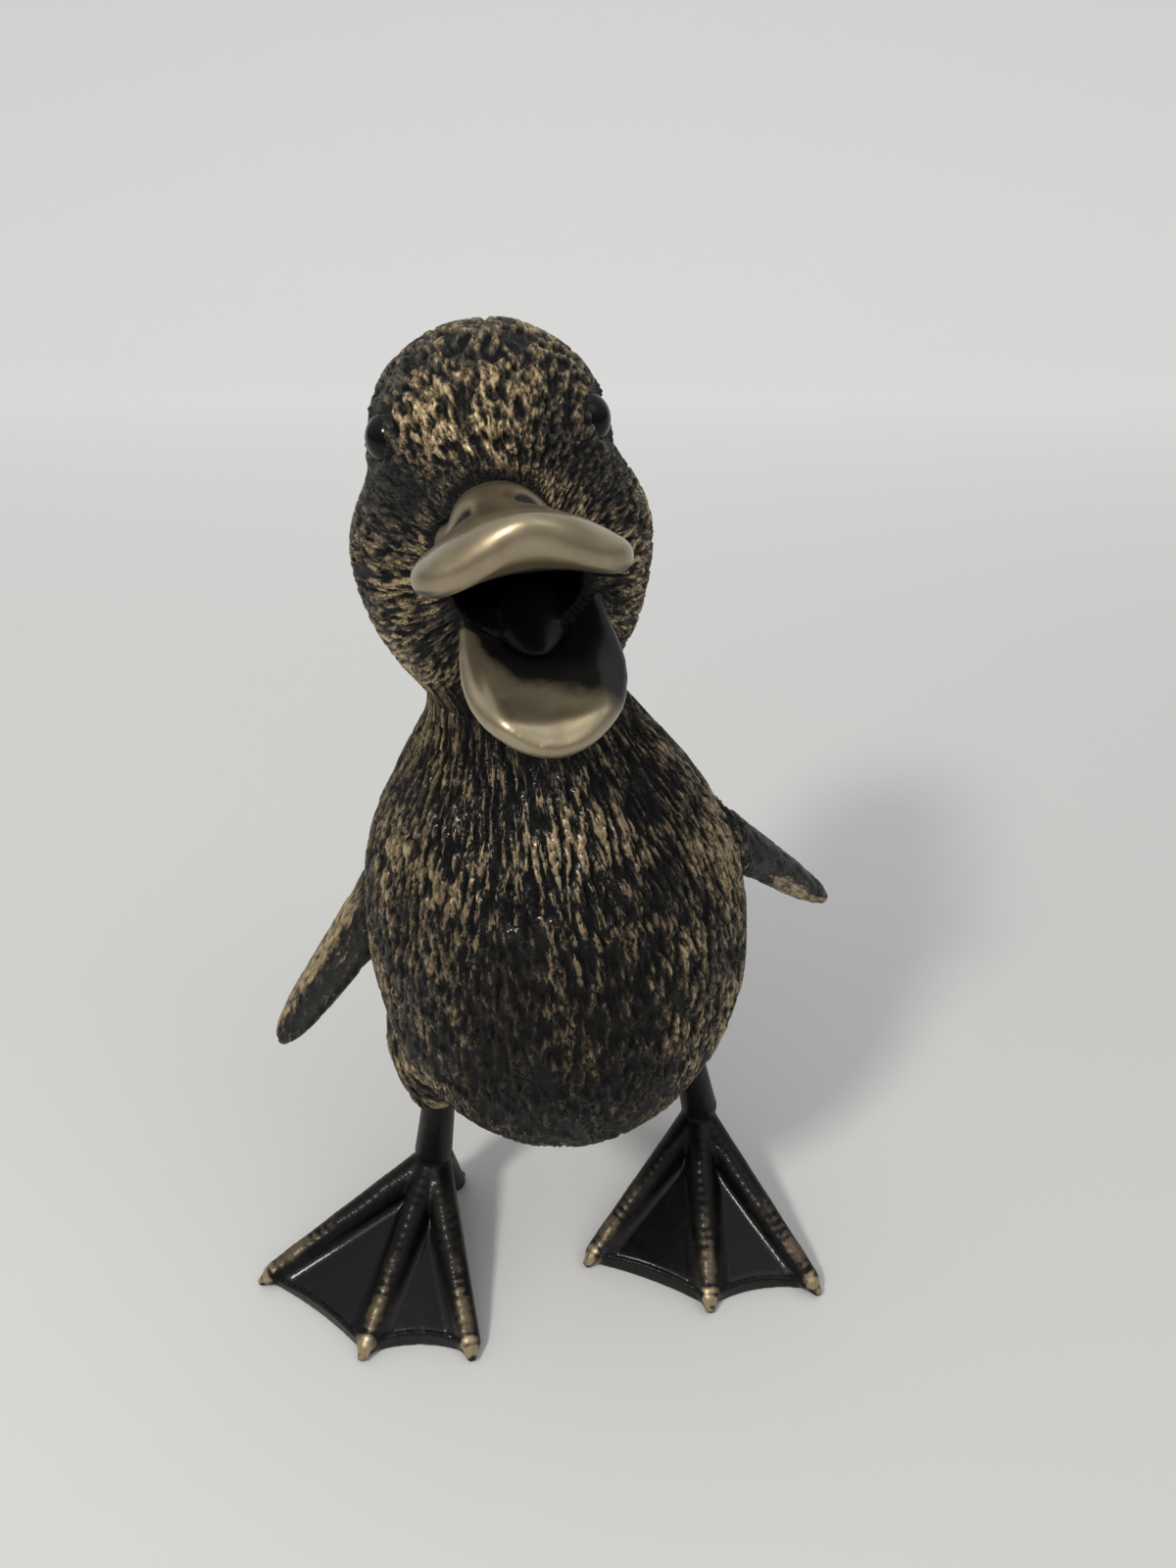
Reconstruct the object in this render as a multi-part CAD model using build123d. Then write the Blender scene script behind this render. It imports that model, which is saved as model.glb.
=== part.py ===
from build123d import *
import os
from math import cos, pi, radians, sin, sqrt

# A cast brass duckling, calling with its bill open, assembled from separate castings.
#
# The torso and the head are hollow castings that meet at a sleeve joint in the neck. The two halves
# of the bill, the tongue, the wings and the legs are cast by themselves, with tenons that enter
# sockets in the hollow castings and are held by pins. The eyes are black glass beads on stems.
#
# Millimetres, +Z up, with the figure looking along -Y, so its left side is at +X. The ground is at
# z = 0, and the finished figure stands with the middle of its outline over the origin.

# Castings in general
WALL = 3.5  # wall of the hollow castings
JOINT_GAP = 0.05  # solder gap all round a tenon, sleeve, plug or pin
PIN_RADIUS = 0.8

# Torso, heights measured from the flat of the belly
GROUND_CLEARANCE = 32.5
FLANK_HEIGHT = 30.5
TORSO_HEIGHT = 71.5
FLANK_HALF_WIDTH = 26.0
BREAST_REACH = 24.2
RUMP_REACH = 31.0
NECK_RADIUS = 10.7
NECK_SHIFT = -4.3  # the neck stands to the figure's right of its belly
BELLY_ANGLE = 14.0  # where the flat of the belly cuts the rounding of the belly
BELLY_FLOOR_ANGLE = 36.0  # where the hollow ends above the flat of the belly

# Tail tuft
TAIL_LENGTH = 14.0
TAIL_HALF_WIDTH = 9.0
TAIL_HALF_DEPTH = 6.5
TAIL_RISE = 9.0
TAIL_HEIGHT = 28.0

# Head, heights measured from the neck seam
HEAD_ROLL = 4.2  # the crown leans to the figure's right
HEAD_YAW = 10.5  # the face looks a little to its left
CHEEK_HEIGHT = 16.8
CHEEK_HALF_WIDTH = 16.7
FACE_REACH = 15.1
NAPE_REACH = 17.5
TEMPLE_HEIGHT = 27.8
TEMPLE_HALF_WIDTH = 12.7
FOREHEAD_REACH = 12.7
OCCIPUT_REACH = 16.6
CROWN_HEIGHT = 40.0

# Neck sleeve
SLEEVE_BORE = 5.2
SLEEVE_RADIUS = 7.2
SLEEVE_LENGTH = 15.0
NECK_PIN_COUNT = 3

# Mouth, in the head's own frame
MOUTH_HEIGHT = 17.0
MOUTH_HALF_WIDTH = 7.2
MOUTH_HALF_HEIGHT = 4.6
MOUTH_DEPTH = 13.0
THROAT_HALF_WIDTH = 4.2
THROAT_HALF_HEIGHT = 2.6

# Bill, reaches measured forward from the neck's axis and heights from the neck seam
BILL_ROOT_REACH = 9.0
UPPER_BILL_REACH = 30.5
UPPER_BILL_HALF_WIDTH = 9.0
UPPER_BILL_ROOT_HALF_WIDTH = 4.6
UPPER_BILL_ROOT_THICKNESS = 6.0
UPPER_BILL_LIP = 4.4  # thickness at the front lip
UPPER_BILL_ROOT_TOP = 30.5
UPPER_BILL_TIP_TOP = 30.4
UPPER_BILL_DIP = 3.2  # how far the ridge of the bill sags between forehead and tip
UPPER_BILL_ROOT_EDGE = 21.0
UPPER_BILL_TIP_EDGE = 23.0
UPPER_BILL_DROOP = 1.0  # how far the side edges hang between root and tip
UPPER_BILL_SKEW = 1.5  # the root lies this much to the figure's right of the tip
LOWER_BILL_LENGTH = 22.9
LOWER_BILL_HALF_WIDTH = 7.3
LOWER_BILL_ROOT_HALF_WIDTH = 6.8
LOWER_BILL_THICKNESS = 3.2
LOWER_BILL_TROUGH = 2.8  # depth of the scoop below its rims
LOWER_BILL_SHALLOW = 0.4  # share of that depth that is left at the tip
LOWER_BILL_PITCH = -28.0
LOWER_BILL_ROOT_HEIGHT = 17.3
LOWER_BILL_SHIFT = 1.0  # the lower bill is set a little to the figure's left
BILL_TENON_HALF_WIDTH = 3.0
BILL_TENON_HALF_THICKNESS = 1.0
BILL_TENON_HALF_LENGTH = 3.6
NOSTRIL_RADIUS = 0.85
NOSTRIL_DEPTH = 1.8
NOSTRIL_SPACING = 3.7  # from the middle of the bill
NOSTRIL_REACH = 17.4

# Tongue, which lies in the lower bill
TONGUE_START = 1.5
TONGUE_LENGTH = 9.5
TONGUE_HALF_WIDTH = 3.4
TONGUE_HALF_THICKNESS = 1.3
TONGUE_DROP = 2.0  # below the rims of the lower bill
TONGUE_STEM_RADIUS = 0.9
TONGUE_STEM_LENGTH = 5.0

# Eyes
EYE_RADIUS = 2.8
EYE_HEIGHT = 30.3
RIGHT_EYE_FORWARD = 2.2
LEFT_EYE_FORWARD = 4.2
EYE_SINK = 1.7  # how far the middle of the bead lies under the skin
EYE_STEM_RADIUS = 0.9
EYE_STEM_LENGTH = 4.0

# Wings, heights measured from the flat of the belly
WING_ROOT_THICKNESS = 5.6
WING_TIP_THICKNESS = 3.2
WING_ROOT_BACK = 5.0
WING_ROOT_DEPTH = 6.0  # how far inside the flank the wing's shape starts
WING_SHOULDER = 6.5  # how far the shoulder stands out before the wing drops
WING_PEG_PLACE = 0.36  # share of the wing's length where its peg enters the flank
WING_PEG_RADIUS = 1.8
WING_PEG_LENGTH = 11.5
WING_PIN_LENGTH = 5.0
RIGHT_WING_CHORD = 9.7
RIGHT_WING_TAPER = 0.84  # share of the chord that is left towards the tip
RIGHT_WING_ROOT_HEIGHT = 44.0
RIGHT_WING_TIP_OUT = 46.0
RIGHT_WING_TIP_BACK = 8.0
RIGHT_WING_TIP_HEIGHT = 2.5
RIGHT_WING_TWIST = 30.0  # degrees that the front edge is turned up and out
LEFT_WING_CHORD = 7.0
LEFT_WING_TAPER = 0.66
LEFT_WING_ROOT_HEIGHT = 46.9
LEFT_WING_TIP_OUT = 42.4
LEFT_WING_TIP_BACK = 20.0
LEFT_WING_TIP_HEIGHT = 22.2
LEFT_WING_TWIST = 27.0

# Legs
LEG_HALF_SPACING = 20.0
LEG_BACK = 7.0
LEG_SHIFT = 0.4  # both legs stand to the figure's left of its middle
LEG_SPLAY = 2.3  # the ankles stand this much further out than the seats
ANKLE_SHIFT = 0.4  # and this much further to the figure's left
STRIDE = 4.6  # the right foot stands this much ahead of the middle, and the left behind it
THIGH_SEAT = 29.5
THIGH_SEAT_RADIUS = 3.8
THIGH_RADIUS = 10.5
THIGH_HEIGHT = 52.0
THIGH_LEAN = 4.5  # how far the thigh's top lies inwards of its seat
SHANK_RADIUS = 2.6
LEG_TENON_RADIUS = 2.2
LEG_TENON_LENGTH = 9.0

# Feet
ANKLE_HEIGHT = 16.5
ANKLE_RADIUS = 3.1
OUTER_TOE_LENGTH = 31.2
MIDDLE_TOE_LENGTH = 28.5
INNER_TOE_LENGTH = 28.2
TOE_ROOT_RADIUS = 2.6
TOE_ROOT_REACH = 0.8  # where a toe starts, out from the ankle's axis
TOE_TIP_RADIUS = 1.8
TOE_SPREADS = (44.5, 0.0, -35.0)  # degrees from the middle toe
CLAW_LENGTH = 2.6
HIND_TOE_LENGTH = 8.0
WEB_EDGE = 1.3
WEB_ROOT_HEIGHT = 11.5
WEB_HEEL = 2.0
WEB_REACH = 0.95  # share of a toe that is webbed
WEB_SCALLOP = 0.85  # share of a toe's length at the hollow between two toes
RIGHT_FOOT_HEADING = 18.5
LEFT_FOOT_HEADING = -0.5

# Plugs left by the casting
BELLY_PLUG_RADIUS = 3.6
BELLY_PLUG_SLOT = 0.9
CORE_PLUG_RADIUS = 1.4
CORE_PLUG_HEIGHT = 41.0
CORE_PLUG_BEARINGS = (55.0, 125.0, 235.0, 305.0)  # degrees from +X, seen from above

RIGHT = -1
LEFT = 1


def mix(start, end, share):
    """The value that lies `share` of the way from start to end."""
    return start + (end - start) * share


def egg(frame, half_width, front, back, height=0.0):
    """An elliptical cross-section that reaches `front` towards -Y and `back` towards +Y."""
    middle = (back - front) / 2
    return frame * (Location((0, middle, height)) * Ellipse(half_width, (front + back) / 2))


def rod(radius, start, direction, length):
    """A round rod from a point along a direction."""
    return Plane(origin=start, z_dir=direction) * extrude(Circle(radius), amount=length)


# Torso


def torso_low_station(angle, inset):
    """A cross-section of the belly, which is rounded as a quarter of an ellipse."""
    share = sin(radians(angle))
    height = FLANK_HEIGHT * (1 - cos(radians(angle)) / cos(radians(BELLY_ANGLE)))
    return egg(
        Plane.XY,
        FLANK_HALF_WIDTH * share - inset,
        BREAST_REACH * share - inset,
        RUMP_REACH * share - inset,
        GROUND_CLEARANCE + height,
    )


def torso_girth(rise):
    """Half width, reach forward and reach back at a share of the way from flank to neck seam."""
    share = (1 - rise**2.6) ** 1.65
    return [mix(NECK_RADIUS, size, share) for size in (FLANK_HALF_WIDTH, BREAST_REACH, RUMP_REACH)]


def torso_frame(rise):
    """The plane of a cross-section above the flank, which leans more the nearer it is to the neck."""
    height = GROUND_CLEARANCE + mix(FLANK_HEIGHT, TORSO_HEIGHT, rise)
    return Plane(Location((NECK_SHIFT * rise**1.4, 0, height), (0, -HEAD_ROLL * rise**2, 0)))


def torso_high_station(rise, inset):
    """A cross-section between the flank and the neck seam."""
    return egg(torso_frame(rise), *[size - inset for size in torso_girth(rise)])


def torso_skin():
    """The outside of the torso, solid, up to the neck seam."""
    low = [torso_low_station(angle, 0) for angle in (BELLY_ANGLE, 30, 50, 70, 90)]
    high = [torso_high_station(rise, 0) for rise in (0.28, 0.5, 0.7, 0.86, 1.0)]
    return loft(low + high)


def torso_core():
    """The hollow inside the torso, which ends below the neck sleeve."""
    low = [torso_low_station(angle, WALL) for angle in (BELLY_FLOOR_ANGLE, 50, 70, 90)]
    high = [torso_high_station(rise, WALL) for rise in (0.28, 0.5, 0.65, 0.76)]
    return loft(low + high)


NECK_SEAM = torso_frame(1.0)
HEAD_FRAME = Plane(NECK_SEAM.location * Location((0, 0, 0), (0, 0, HEAD_YAW)))


def tail_tuft():
    """The pointed tuft at the rump, from well inside the torso to its tip."""
    start = RUMP_REACH - TAIL_LENGTH
    end = RUMP_REACH + TAIL_LENGTH
    sections = []
    for share, girth in ((0.0, 1.0), (0.45, 0.86), (0.8, 0.5), (1.0, 0.16)):
        height = GROUND_CLEARANCE + TAIL_HEIGHT + TAIL_RISE * share**1.6
        across = Plane(origin=(0, mix(start, end, share), height), x_dir=(1, 0, 0), z_dir=(0, 1, 0.35))
        sections.append(across * Ellipse(TAIL_HALF_WIDTH * girth, TAIL_HALF_DEPTH * girth))
    return loft(sections)


def leg_seat(side, height=THIGH_SEAT):
    """A point on the axis of a leg's tenon, which stands upright in the thigh."""
    return Vector(LEG_SHIFT + side * LEG_HALF_SPACING, LEG_BACK + side * STRIDE, height)


def thigh(side):
    """The feathered thigh, which ends below in a flat seat for the shank and above in the flank."""
    seat_girth = THIGH_SEAT_RADIUS / THIGH_RADIUS
    sections = []
    for share, girth in ((0.0, seat_girth), (0.4, 0.66), (0.75, 0.85), (1.0, 0.8)):
        centre = leg_seat(side, mix(THIGH_SEAT, THIGH_HEIGHT, share))
        inward = Vector(-side * THIGH_LEAN * share**2, 0, 0)
        sections.append(Plane(origin=centre + inward) * Circle(THIGH_RADIUS * girth))
    return loft(sections)


def neck_rod(radius, half_length):
    """A rod on the neck's axis that reaches equally far on both sides of the seam."""
    return NECK_SEAM * extrude(Circle(radius), amount=half_length, both=True)


def neck_pin_rods(radius):
    """Radial rods for the neck pins: one ring in the torso and one ring in the head."""
    rods = {"torso": [], "head": []}
    for casting, level, first in (("torso", -SLEEVE_LENGTH / 4, 90), ("head", SLEEVE_LENGTH / 4, 30)):
        for number in range(NECK_PIN_COUNT):
            bearing = radians(first + number * 360 / NECK_PIN_COUNT)
            outward = Vector(cos(bearing), sin(bearing), 0)
            start = outward * SLEEVE_BORE + Vector(0, 0, level)
            rods[casting].append(NECK_SEAM * rod(radius, start, outward, 2 * CHEEK_HALF_WIDTH))
    return rods


def core_plug_rods(radius):
    """Rods that run outwards from the torso's axis along the pins that held its core."""
    rods = []
    for bearing in CORE_PLUG_BEARINGS:
        outward = Vector(cos(radians(bearing)), sin(radians(bearing)), 0)
        rods.append(rod(radius, (0, 0, GROUND_CLEARANCE + CORE_PLUG_HEIGHT), outward, 2 * RUMP_REACH))
    return rods


def belly_plug_rod(radius):
    """A rod through the flat of the belly."""
    return rod(radius, (0, 0, GROUND_CLEARANCE), (0, 0, 1), FLANK_HEIGHT / 2)


def leg_pin_rod(side, radius):
    """A rod from the middle of a leg's tenon out through the back of the thigh."""
    return rod(radius, leg_seat(side, THIGH_SEAT + LEG_TENON_LENGTH / 2), (0, 1, 0), 2 * THIGH_RADIUS)


# Head


def head_girth(height):
    """Half width, reach forward and reach back of the head at a height above the neck seam."""
    cheek = (CHEEK_HALF_WIDTH, FACE_REACH, NAPE_REACH)
    temple = (TEMPLE_HALF_WIDTH, FOREHEAD_REACH, OCCIPUT_REACH)
    if height <= CHEEK_HEIGHT:
        share = sin(pi / 2 * height / CHEEK_HEIGHT)
        return [mix(NECK_RADIUS, size, share) for size in cheek]
    if height <= TEMPLE_HEIGHT:
        climb = (height - CHEEK_HEIGHT) / (TEMPLE_HEIGHT - CHEEK_HEIGHT)
        share = (1 - cos(pi * climb**1.27)) / 2
        return [mix(low, high, share) for low, high in zip(cheek, temple)]
    dome = sqrt(1 - ((height - TEMPLE_HEIGHT) / (CROWN_HEIGHT - TEMPLE_HEIGHT)) ** 2)
    return [TEMPLE_HALF_WIDTH * dome, FOREHEAD_REACH * dome, OCCIPUT_REACH * dome]


def head_skin():
    """The outside of the head, solid, in its own frame above the neck seam."""
    heights = [CHEEK_HEIGHT * share for share in (0.0, 0.3, 0.65, 1.0)]
    heights += [mix(CHEEK_HEIGHT, TEMPLE_HEIGHT, share) for share in (0.33, 0.66, 1.0)]
    heights += [mix(TEMPLE_HEIGHT, CROWN_HEIGHT, share) for share in (0.4, 0.7, 0.88, 0.97)]
    return loft([egg(Plane.XY, *head_girth(height), height) for height in heights])


def head_core():
    """The hollow of the head, behind the mouth and above the neck sleeve."""
    sections = []
    for share in (0.0, 0.4, 0.75, 1.0):
        height = mix(SLEEVE_LENGTH / 2, TEMPLE_HEIGHT, share)
        reach_back = head_girth(height)[2] - WALL
        sections.append(egg(Plane.XY, SLEEVE_BORE, 0, reach_back, height))
    return loft(sections)


def mouth_hollow():
    """The dark hollow between the two halves of the bill, narrowing to the throat."""
    opening = Plane(origin=(0, -FACE_REACH - 1, MOUTH_HEIGHT), x_dir=(1, 0, 0), z_dir=(0, 1, 0))
    throat = Plane(origin=(0, MOUTH_DEPTH - FACE_REACH, MOUTH_HEIGHT), x_dir=(1, 0, 0), z_dir=(0, 1, 0))
    return loft(
        [
            opening * Ellipse(MOUTH_HALF_WIDTH, MOUTH_HALF_HEIGHT),
            throat * Ellipse(THROAT_HALF_WIDTH, THROAT_HALF_HEIGHT),
        ]
    )


def eye_frame(side):
    """An eye's frame in the head, with its origin in the bead's middle and Z looking outwards."""
    forward = LEFT_EYE_FORWARD if side == LEFT else RIGHT_EYE_FORWARD
    half_width, front, back = head_girth(EYE_HEIGHT)
    middle = (back - front) / 2
    depth = (front + back) / 2
    along = (-forward - middle) / depth
    skin = Vector(side * half_width * sqrt(1 - along**2), -forward, EYE_HEIGHT)
    outward = Vector(skin.X / half_width**2, (skin.Y - middle) / depth**2, 0).normalized()
    return Plane(origin=skin - outward * EYE_SINK, z_dir=outward)


def eye_bead(side, gap=0.0):
    """A glass bead with its stem, or, grown by a gap, the socket for it."""
    stem_length = EYE_RADIUS + EYE_STEM_LENGTH + gap
    stem = rod(EYE_STEM_RADIUS + gap, (0, 0, 0), (0, 0, -1), stem_length)
    return HEAD_FRAME * (eye_frame(side) * (Sphere(EYE_RADIUS + gap) + stem))


# Bill and tongue


def arched_strip(half_width, edge_height, top_height, thickness):
    """The cross-section of a bill: a strip bent into an arch, with rounded edges."""
    edge = 0.6 * thickness
    lip = edge / 2
    shoulder = edge_height + edge
    crown = ThreePointArc((-half_width, shoulder), (0, top_height), (half_width, shoulder))
    one_lip = ThreePointArc(
        (half_width, shoulder), (half_width + lip, edge_height + lip), (half_width, edge_height)
    )
    hollow = ThreePointArc(
        (half_width, edge_height), (0, top_height - thickness), (-half_width, edge_height)
    )
    other_lip = ThreePointArc(
        (-half_width, edge_height), (-half_width - lip, edge_height + lip), (-half_width, shoulder)
    )
    return make_face([crown, one_lip, hollow, other_lip])


def upper_bill_middle(share):
    """How far the middle of the upper bill lies to the figure's left at a share of its length."""
    return -UPPER_BILL_SKEW * (1 - share)


def upper_bill_half_width(share, ending):
    """Half the width of the upper bill, which widens like a spoon and is rounded in front."""
    widening = min(1, share / 0.75) ** 2
    return mix(UPPER_BILL_ROOT_HALF_WIDTH, UPPER_BILL_HALF_WIDTH, widening) * ending


def upper_bill_top(share):
    """Height of the ridge of the upper bill, which sags between the forehead and the tip."""
    sag = 4 * UPPER_BILL_DIP * share * (1 - share)
    return mix(UPPER_BILL_ROOT_TOP, UPPER_BILL_TIP_TOP, share) - sag


def upper_bill_shape():
    """The upper bill before it is fitted to the face, in the head's frame."""
    sections = []
    for share in (0.08, 0.3, 0.5, 0.7, 0.84, 0.94, 0.98, 0.997):
        reach = mix(BILL_ROOT_REACH, UPPER_BILL_REACH, share)
        middle = upper_bill_middle(share)
        across = Plane(origin=(middle, -reach, 0), x_dir=(1, 0, 0), z_dir=(0, -1, 0))
        ending = sqrt(1 - max(0, (share - 0.6) / 0.4) ** 3)
        half_width = upper_bill_half_width(share, ending)
        lip = mix(UPPER_BILL_ROOT_THICKNESS, UPPER_BILL_LIP, share)
        thickness = lip * ending**0.5
        top = upper_bill_top(share) - (lip - thickness) / 2
        hanging = mix(UPPER_BILL_ROOT_EDGE, UPPER_BILL_TIP_EDGE, share) - UPPER_BILL_DROOP * sin(pi * share)
        edge = mix(top - thickness, hanging, ending)
        sections.append(across * arched_strip(half_width, edge, top, thickness))
    return loft(sections)


def lower_bill_frame():
    """The lower bill's frame in the head: Z runs along its rims, X across them and Y upwards."""
    along = (0, -cos(radians(LOWER_BILL_PITCH)), sin(radians(LOWER_BILL_PITCH)))
    root = (LOWER_BILL_SHIFT, -BILL_ROOT_REACH, LOWER_BILL_ROOT_HEIGHT)
    return Plane(origin=root, x_dir=(1, 0, 0), z_dir=along)


def lower_bill_shape():
    """The lower bill before it is fitted to the face: an arch turned over, as a scoop."""
    sections = []
    for share in (0.1, 0.35, 0.6, 0.8, 0.92, 0.975, 0.997):
        ending = sqrt(1 - max(0, (share - 0.55) / 0.45) ** 2)
        half_width = mix(LOWER_BILL_ROOT_HALF_WIDTH, LOWER_BILL_HALF_WIDTH, sin(pi / 2 * share)) * ending
        thickness = LOWER_BILL_THICKNESS * ending**0.5
        depth = LOWER_BILL_TROUGH * mix(1, LOWER_BILL_SHALLOW, share**2) * ending + thickness
        strip = Rotation(0, 0, 180) * arched_strip(half_width, 0, depth, thickness)
        sections.append(Location((0, 0, LOWER_BILL_LENGTH * share)) * strip)
    return lower_bill_frame() * loft(sections)


def upper_tenon_frame():
    """A frame in the head at the root of the upper bill, with Z along the tenon and Y upwards."""
    share = (FACE_REACH - BILL_ROOT_REACH) / (UPPER_BILL_REACH - BILL_ROOT_REACH)
    thickness = mix(UPPER_BILL_ROOT_THICKNESS, UPPER_BILL_LIP, share)
    height = upper_bill_top(share) - thickness / 2
    root = (upper_bill_middle(share), -FOREHEAD_REACH, height)
    return Plane(origin=root, x_dir=(1, 0, 0), z_dir=(0, -1, 0))


def lower_tenon_frame():
    """A frame in the head at the root of the lower bill, with Z along the tenon and Y upwards."""
    along = (FACE_REACH - BILL_ROOT_REACH) / cos(radians(LOWER_BILL_PITCH)) + LOWER_BILL_TROUGH / 2
    lift = -(LOWER_BILL_TROUGH + LOWER_BILL_THICKNESS / 2)
    return Plane(lower_bill_frame().location * Location((0, lift, along)))


def bill_tenon(frame, gap):
    """A bill's flat tenon, half in the bill and half in the face."""
    return frame * Box(
        2 * (BILL_TENON_HALF_WIDTH + gap),
        2 * (BILL_TENON_HALF_THICKNESS + gap),
        2 * (BILL_TENON_HALF_LENGTH + gap),
    )


def bill_pin_rod(frame, towards_mouth, radius):
    """A rod from a bill's tenon into the mouth, square to the tenon."""
    start = (0, -towards_mouth * BILL_TENON_HALF_THICKNESS, -BILL_TENON_HALF_LENGTH / 2)
    return frame * rod(radius, start, (0, towards_mouth, 0), MOUTH_HALF_HEIGHT)


BILL_TENONS = {"upper_bill": (upper_tenon_frame(), -1), "lower_bill": (lower_tenon_frame(), 1)}


def nostrils():
    """Two small round pits in the top of the upper bill."""
    share = (NOSTRIL_REACH - BILL_ROOT_REACH) / (UPPER_BILL_REACH - BILL_ROOT_REACH)
    top = upper_bill_top(share)
    pits = []
    for side in (RIGHT, LEFT):
        start = (upper_bill_middle(share) + side * NOSTRIL_SPACING, -NOSTRIL_REACH, top)
        pits.append(HEAD_FRAME * rod(NOSTRIL_RADIUS, start, (0, 0, -1), 2 * NOSTRIL_DEPTH))
    return pits


def tongue_shape():
    """The tongue before it is fitted to the mouth, in the head's frame."""
    sections = []
    for share, girth in ((0.0, 0.8), (0.4, 1.0), (0.75, 0.85), (0.93, 0.5), (1.0, 0.2)):
        place = Location((0, -TONGUE_DROP, TONGUE_START + TONGUE_LENGTH * share))
        sections.append(place * Ellipse(TONGUE_HALF_WIDTH * girth, TONGUE_HALF_THICKNESS * girth**0.5))
    return lower_bill_frame() * loft(sections)


def tongue_stem(gap):
    """The stem that holds the tongue in the floor of the mouth."""
    start = (0, -TONGUE_DROP, TONGUE_START + 2 * TONGUE_STEM_RADIUS)
    return lower_bill_frame() * rod(TONGUE_STEM_RADIUS + gap, start, (0, -1, 0), TONGUE_STEM_LENGTH + gap)


# Wings


def wing_spine(side, root_height, tip_out, tip_back, tip_height):
    """The curve along a wing, from inside the flank over the shoulder to the tip."""
    root_out = FLANK_HALF_WIDTH - WING_ROOT_DEPTH
    root = Vector(side * root_out, WING_ROOT_BACK, GROUND_CLEARANCE + root_height)
    tip = Vector(side * tip_out, tip_back, GROUND_CLEARANCE + tip_height)
    drop = Vector(0, tip.Y - root.Y, tip.Z - root.Z)
    return Bezier(root, root + Vector(side * WING_SHOULDER, 0, 0) + drop * 0.3, tip)


WING_SPINES = {
    RIGHT: wing_spine(
        RIGHT, RIGHT_WING_ROOT_HEIGHT, RIGHT_WING_TIP_OUT, RIGHT_WING_TIP_BACK, RIGHT_WING_TIP_HEIGHT
    ),
    LEFT: wing_spine(
        LEFT, LEFT_WING_ROOT_HEIGHT, LEFT_WING_TIP_OUT, LEFT_WING_TIP_BACK, LEFT_WING_TIP_HEIGHT
    ),
}


def wing_shape(side, chord, taper, twist):
    """A flipper-like wing with a blunt tip, before it is fitted to the flank."""
    spine = WING_SPINES[side]
    sections = []
    for share in (0.0, 0.25, 0.5, 0.75, 0.9, 0.975):
        ending = sqrt(1 - share**6)
        width = chord * mix(1.15, taper, share) * ending
        thickness = mix(WING_ROOT_THICKNESS, WING_TIP_THICKNESS, share) * ending
        across = Plane(origin=spine @ share, x_dir=(0, 1, 0), z_dir=spine % share)
        sections.append(across * (Rotation(0, 0, side * twist) * Ellipse(width / 2, thickness / 2)))
    return loft(sections)


def wing_peg(side, gap):
    """The level peg that enters the flank from the wing."""
    outer_end = WING_SPINES[side] @ WING_PEG_PLACE
    return rod(WING_PEG_RADIUS + gap, outer_end, (-side, 0, 0), WING_PEG_LENGTH + gap)


def wing_pin(side, gap):
    """The cross pin through the inner end of a wing's peg."""
    inward = Vector(-side * (WING_PEG_LENGTH - 2 * PIN_RADIUS), -WING_PIN_LENGTH / 2, 0)
    start = WING_SPINES[side] @ WING_PEG_PLACE + inward
    return rod(PIN_RADIUS + gap, start, (0, 1, 0), WING_PIN_LENGTH)


# Legs


def toe_point(bearing, reach):
    """A point on the ground under a toe."""
    return Vector(-sin(radians(bearing)), -cos(radians(bearing)), 0) * reach


def taper(start, end, start_radius, end_radius):
    """A round bar between two points that changes from one radius to the other."""
    line = end - start
    far_end = Location((0, 0, line.length)) * Circle(end_radius)
    return Plane(origin=start, z_dir=line) * loft([Circle(start_radius), far_end])


def toe(bearing, length):
    """A toe that runs from the ankle down to the ground, with a small claw."""
    start = toe_point(bearing, TOE_ROOT_REACH) + Vector(0, 0, ANKLE_HEIGHT - TOE_ROOT_RADIUS)
    end = toe_point(bearing, length - CLAW_LENGTH) + Vector(0, 0, TOE_TIP_RADIUS)
    claw_tip = toe_point(bearing, length) + Vector(0, 0, TOE_TIP_RADIUS / 2)
    bone = taper(start, end, TOE_ROOT_RADIUS, TOE_TIP_RADIUS)
    knuckle = Location(end) * Sphere(TOE_TIP_RADIUS)
    return bone + knuckle + taper(end, claw_tip, 0.9 * TOE_TIP_RADIUS, 0.35 * TOE_TIP_RADIUS)


def web_outline(toes):
    """The outline of the web on the ground, with a hollow front edge between each two toes."""
    tips = [toe_point(bearing, length * WEB_REACH) for bearing, length in toes]
    heel = Vector(0, WEB_HEEL, 0)
    edges = [Line(heel, tips[0])]
    for number in (0, 1):
        bearing = (toes[number][0] + toes[number + 1][0]) / 2
        length = (toes[number][1] + toes[number + 1][1]) / 2
        edges.append(ThreePointArc(tips[number], toe_point(bearing, length * WEB_SCALLOP), tips[number + 1]))
    edges.append(Line(tips[2], heel))
    return make_face(edges)


def web(toes):
    """The web, which falls as a cone from the ankle to its thin front edge."""
    outline = web_outline(toes)
    height = WEB_ROOT_HEIGHT - WEB_EDGE
    slope = Location((0, 0, WEB_EDGE + height / 2)) * Cone(OUTER_TOE_LENGTH, SHANK_RADIUS, height)
    return extrude(outline, amount=WEB_EDGE) + (extrude(outline, amount=WEB_ROOT_HEIGHT) & slope)


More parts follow.
